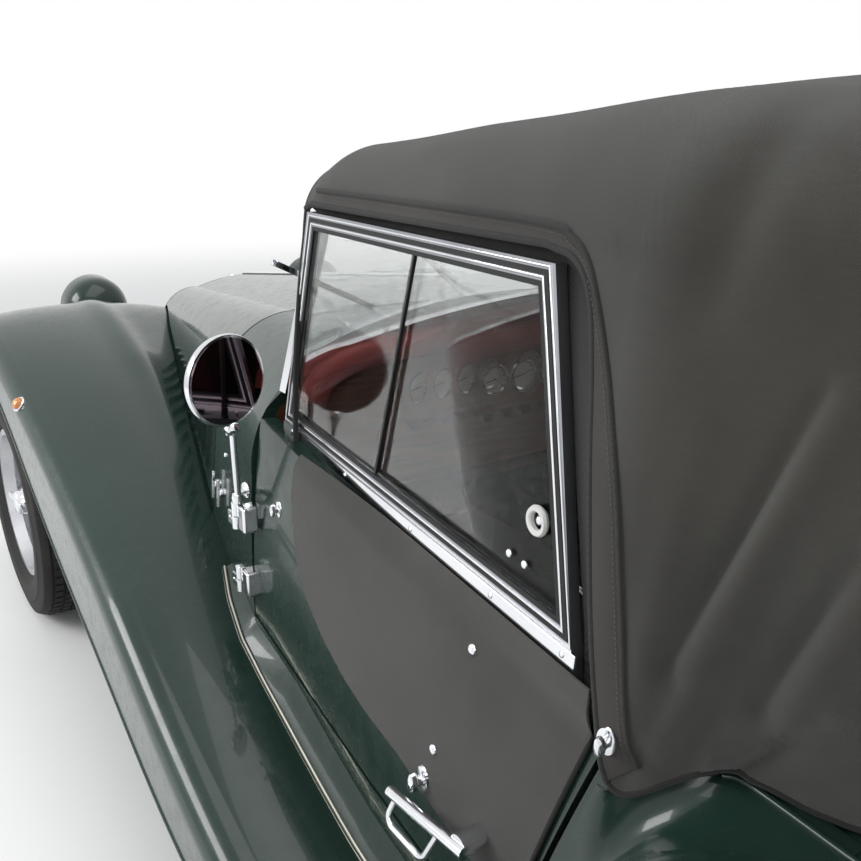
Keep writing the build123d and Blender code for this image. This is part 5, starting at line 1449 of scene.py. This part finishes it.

# Stitches along the hood's seams and round its rear window

seam_stitches = np.array([on_hood(*((y - 5.5, z) if z < 1180 else (y, z - 5.5)), 2.2) for y, z in HOOD_SEAM])
hood_trim += [stitched(f"hood_stitches_{side}", mirrored(seam_stitches, sign)) for side, sign in SIDES]
hood_trim.append(stitched("hood_stitches_window", np.vstack([seam_ring, seam_ring[:1]])))

# Camera, light and floor

YAW, PITCH, ROLL = radians(34.25), radians(18.79), radians(0.22)
FOCAL_PIXELS, PICTURE_PIXELS, SENSOR = 933.1, 861, 36
forward = Vector((-sin(YAW) * cos(PITCH), -cos(YAW) * cos(PITCH), -sin(PITCH)))
right = Vector((-cos(YAW), sin(YAW), 0))
upward = right.cross(forward)
right, upward = right * cos(ROLL) + upward * sin(ROLL), upward * cos(ROLL) - right * sin(ROLL)
camera_data = bpy.data.cameras.new("photo_camera")
camera_data.sensor_width = SENSOR
camera_data.lens = FOCAL_PIXELS / PICTURE_PIXELS * SENSOR
camera_data.clip_start = 0.05
camera = shown("photo_camera", camera_data)
camera.matrix_world = Matrix.Translation((1.106, 1.172, 1.303)) @ Matrix((
    (right.x, upward.x, -forward.x), (right.y, upward.y, -forward.y), (right.z, upward.z, -forward.z))).to_4x4()
bpy.context.scene.camera = camera
bpy.context.scene.view_settings.view_transform = "Standard"


def backdrop_shader(tree, shade, seen):
    """Light on the object at one level, and a plain pale tone where a ray looks straight at it."""
    path = tree.nodes.new("ShaderNodeLightPath")
    looks = path.outputs["Is Camera Ray"]
    for kind in ("Is Glossy Ray", "Is Transmission Ray"):
        either = tree.nodes.new("ShaderNodeMath")
        either.operation = "MAXIMUM"
        tree.links.new(looks, either.inputs[0])
        tree.links.new(path.outputs[kind], either.inputs[1])
        looks = either.outputs[0]
    mix = tree.nodes.new("ShaderNodeMixShader")
    for socket, source in enumerate((looks, shade, seen)):
        tree.links.new(source, mix.inputs[socket])
    return mix.outputs[0]


world = bpy.data.worlds.new("soft_studio")
bpy.context.scene.world = world
world.use_nodes = True
sky = world.node_tree
dim, bright = sky.nodes["Background"], sky.nodes.new("ShaderNodeBackground")
dim.inputs[0].default_value, dim.inputs[1].default_value = (0.93, 0.96, 1.0, 1), 0.55
bright.inputs[0].default_value, bright.inputs[1].default_value = (1, 1, 1, 1), 1.0
sky.links.new(backdrop_shader(sky, dim.outputs[0], bright.outputs[0]), sky.nodes["World Output"].inputs[0])

floor_mesh = bpy.data.meshes.new("studio_floor")
floor_mesh.from_pydata([(-30, -30, 0), (30, -30, 0), (30, 30, 0), (-30, 30, 0)], [], [(0, 1, 2, 3)])
floor = shown("studio_floor", floor_mesh)
floor_finish = Finish("pale_floor")
mottle = floor_finish.noise(1.4, 4)
floor_finish.paint(Base_Color=floor_finish.colour(mottle, (0.78, 0.78, 0.77), (0.83, 0.83, 0.82)),
                   Roughness=0.6 + 0.1 * mottle)
floor_x, floor_y, _ = floor_finish.split(floor_finish.place())
far = floor_finish.tree.nodes.new("ShaderNodeMixShader")
glow = floor_finish.tree.nodes.new("ShaderNodeEmission")
floor_finish.feed(far.inputs[0], (floor_x * floor_x + floor_y * floor_y).between(7, 80))
floor_finish.tree.links.new(floor_finish.shader.outputs[0], far.inputs[1])
floor_finish.tree.links.new(glow.outputs[0], far.inputs[2])
floor_finish.tree.links.new(backdrop_shader(floor_finish.tree, floor_finish.shader.outputs[0], far.outputs[0]),
                            floor_finish.tree.nodes["Material Output"].inputs[0])
floor_mesh.materials.append(floor_finish.material)


def softbox(name, place, aim, size, power):
    """A large soft lamp pointed at a place."""
    data = bpy.data.lights.new(name, "AREA")
    data.shape, data.size, data.size_y, data.energy = "RECTANGLE", size[0], size[1], power
    lamp = shown(name, data)
    lamp.location = place
    lamp.rotation_euler = (Vector(aim) - Vector(place)).to_track_quat("-Z", "Y").to_euler()


softbox("window_light", (4.8, -2.6, 3.2), (0.3, -0.1, 0.7), (3.0, 2.0), 210)
softbox("ceiling_light", (0.5, 0.5, 5.0), (0, 0, 0.6), (4.0, 5.0), 120)
softbox("rear_fill", (3.0, 4.5, 2.6), (0, 0.4, 0.7), (3.0, 2.0), 45)
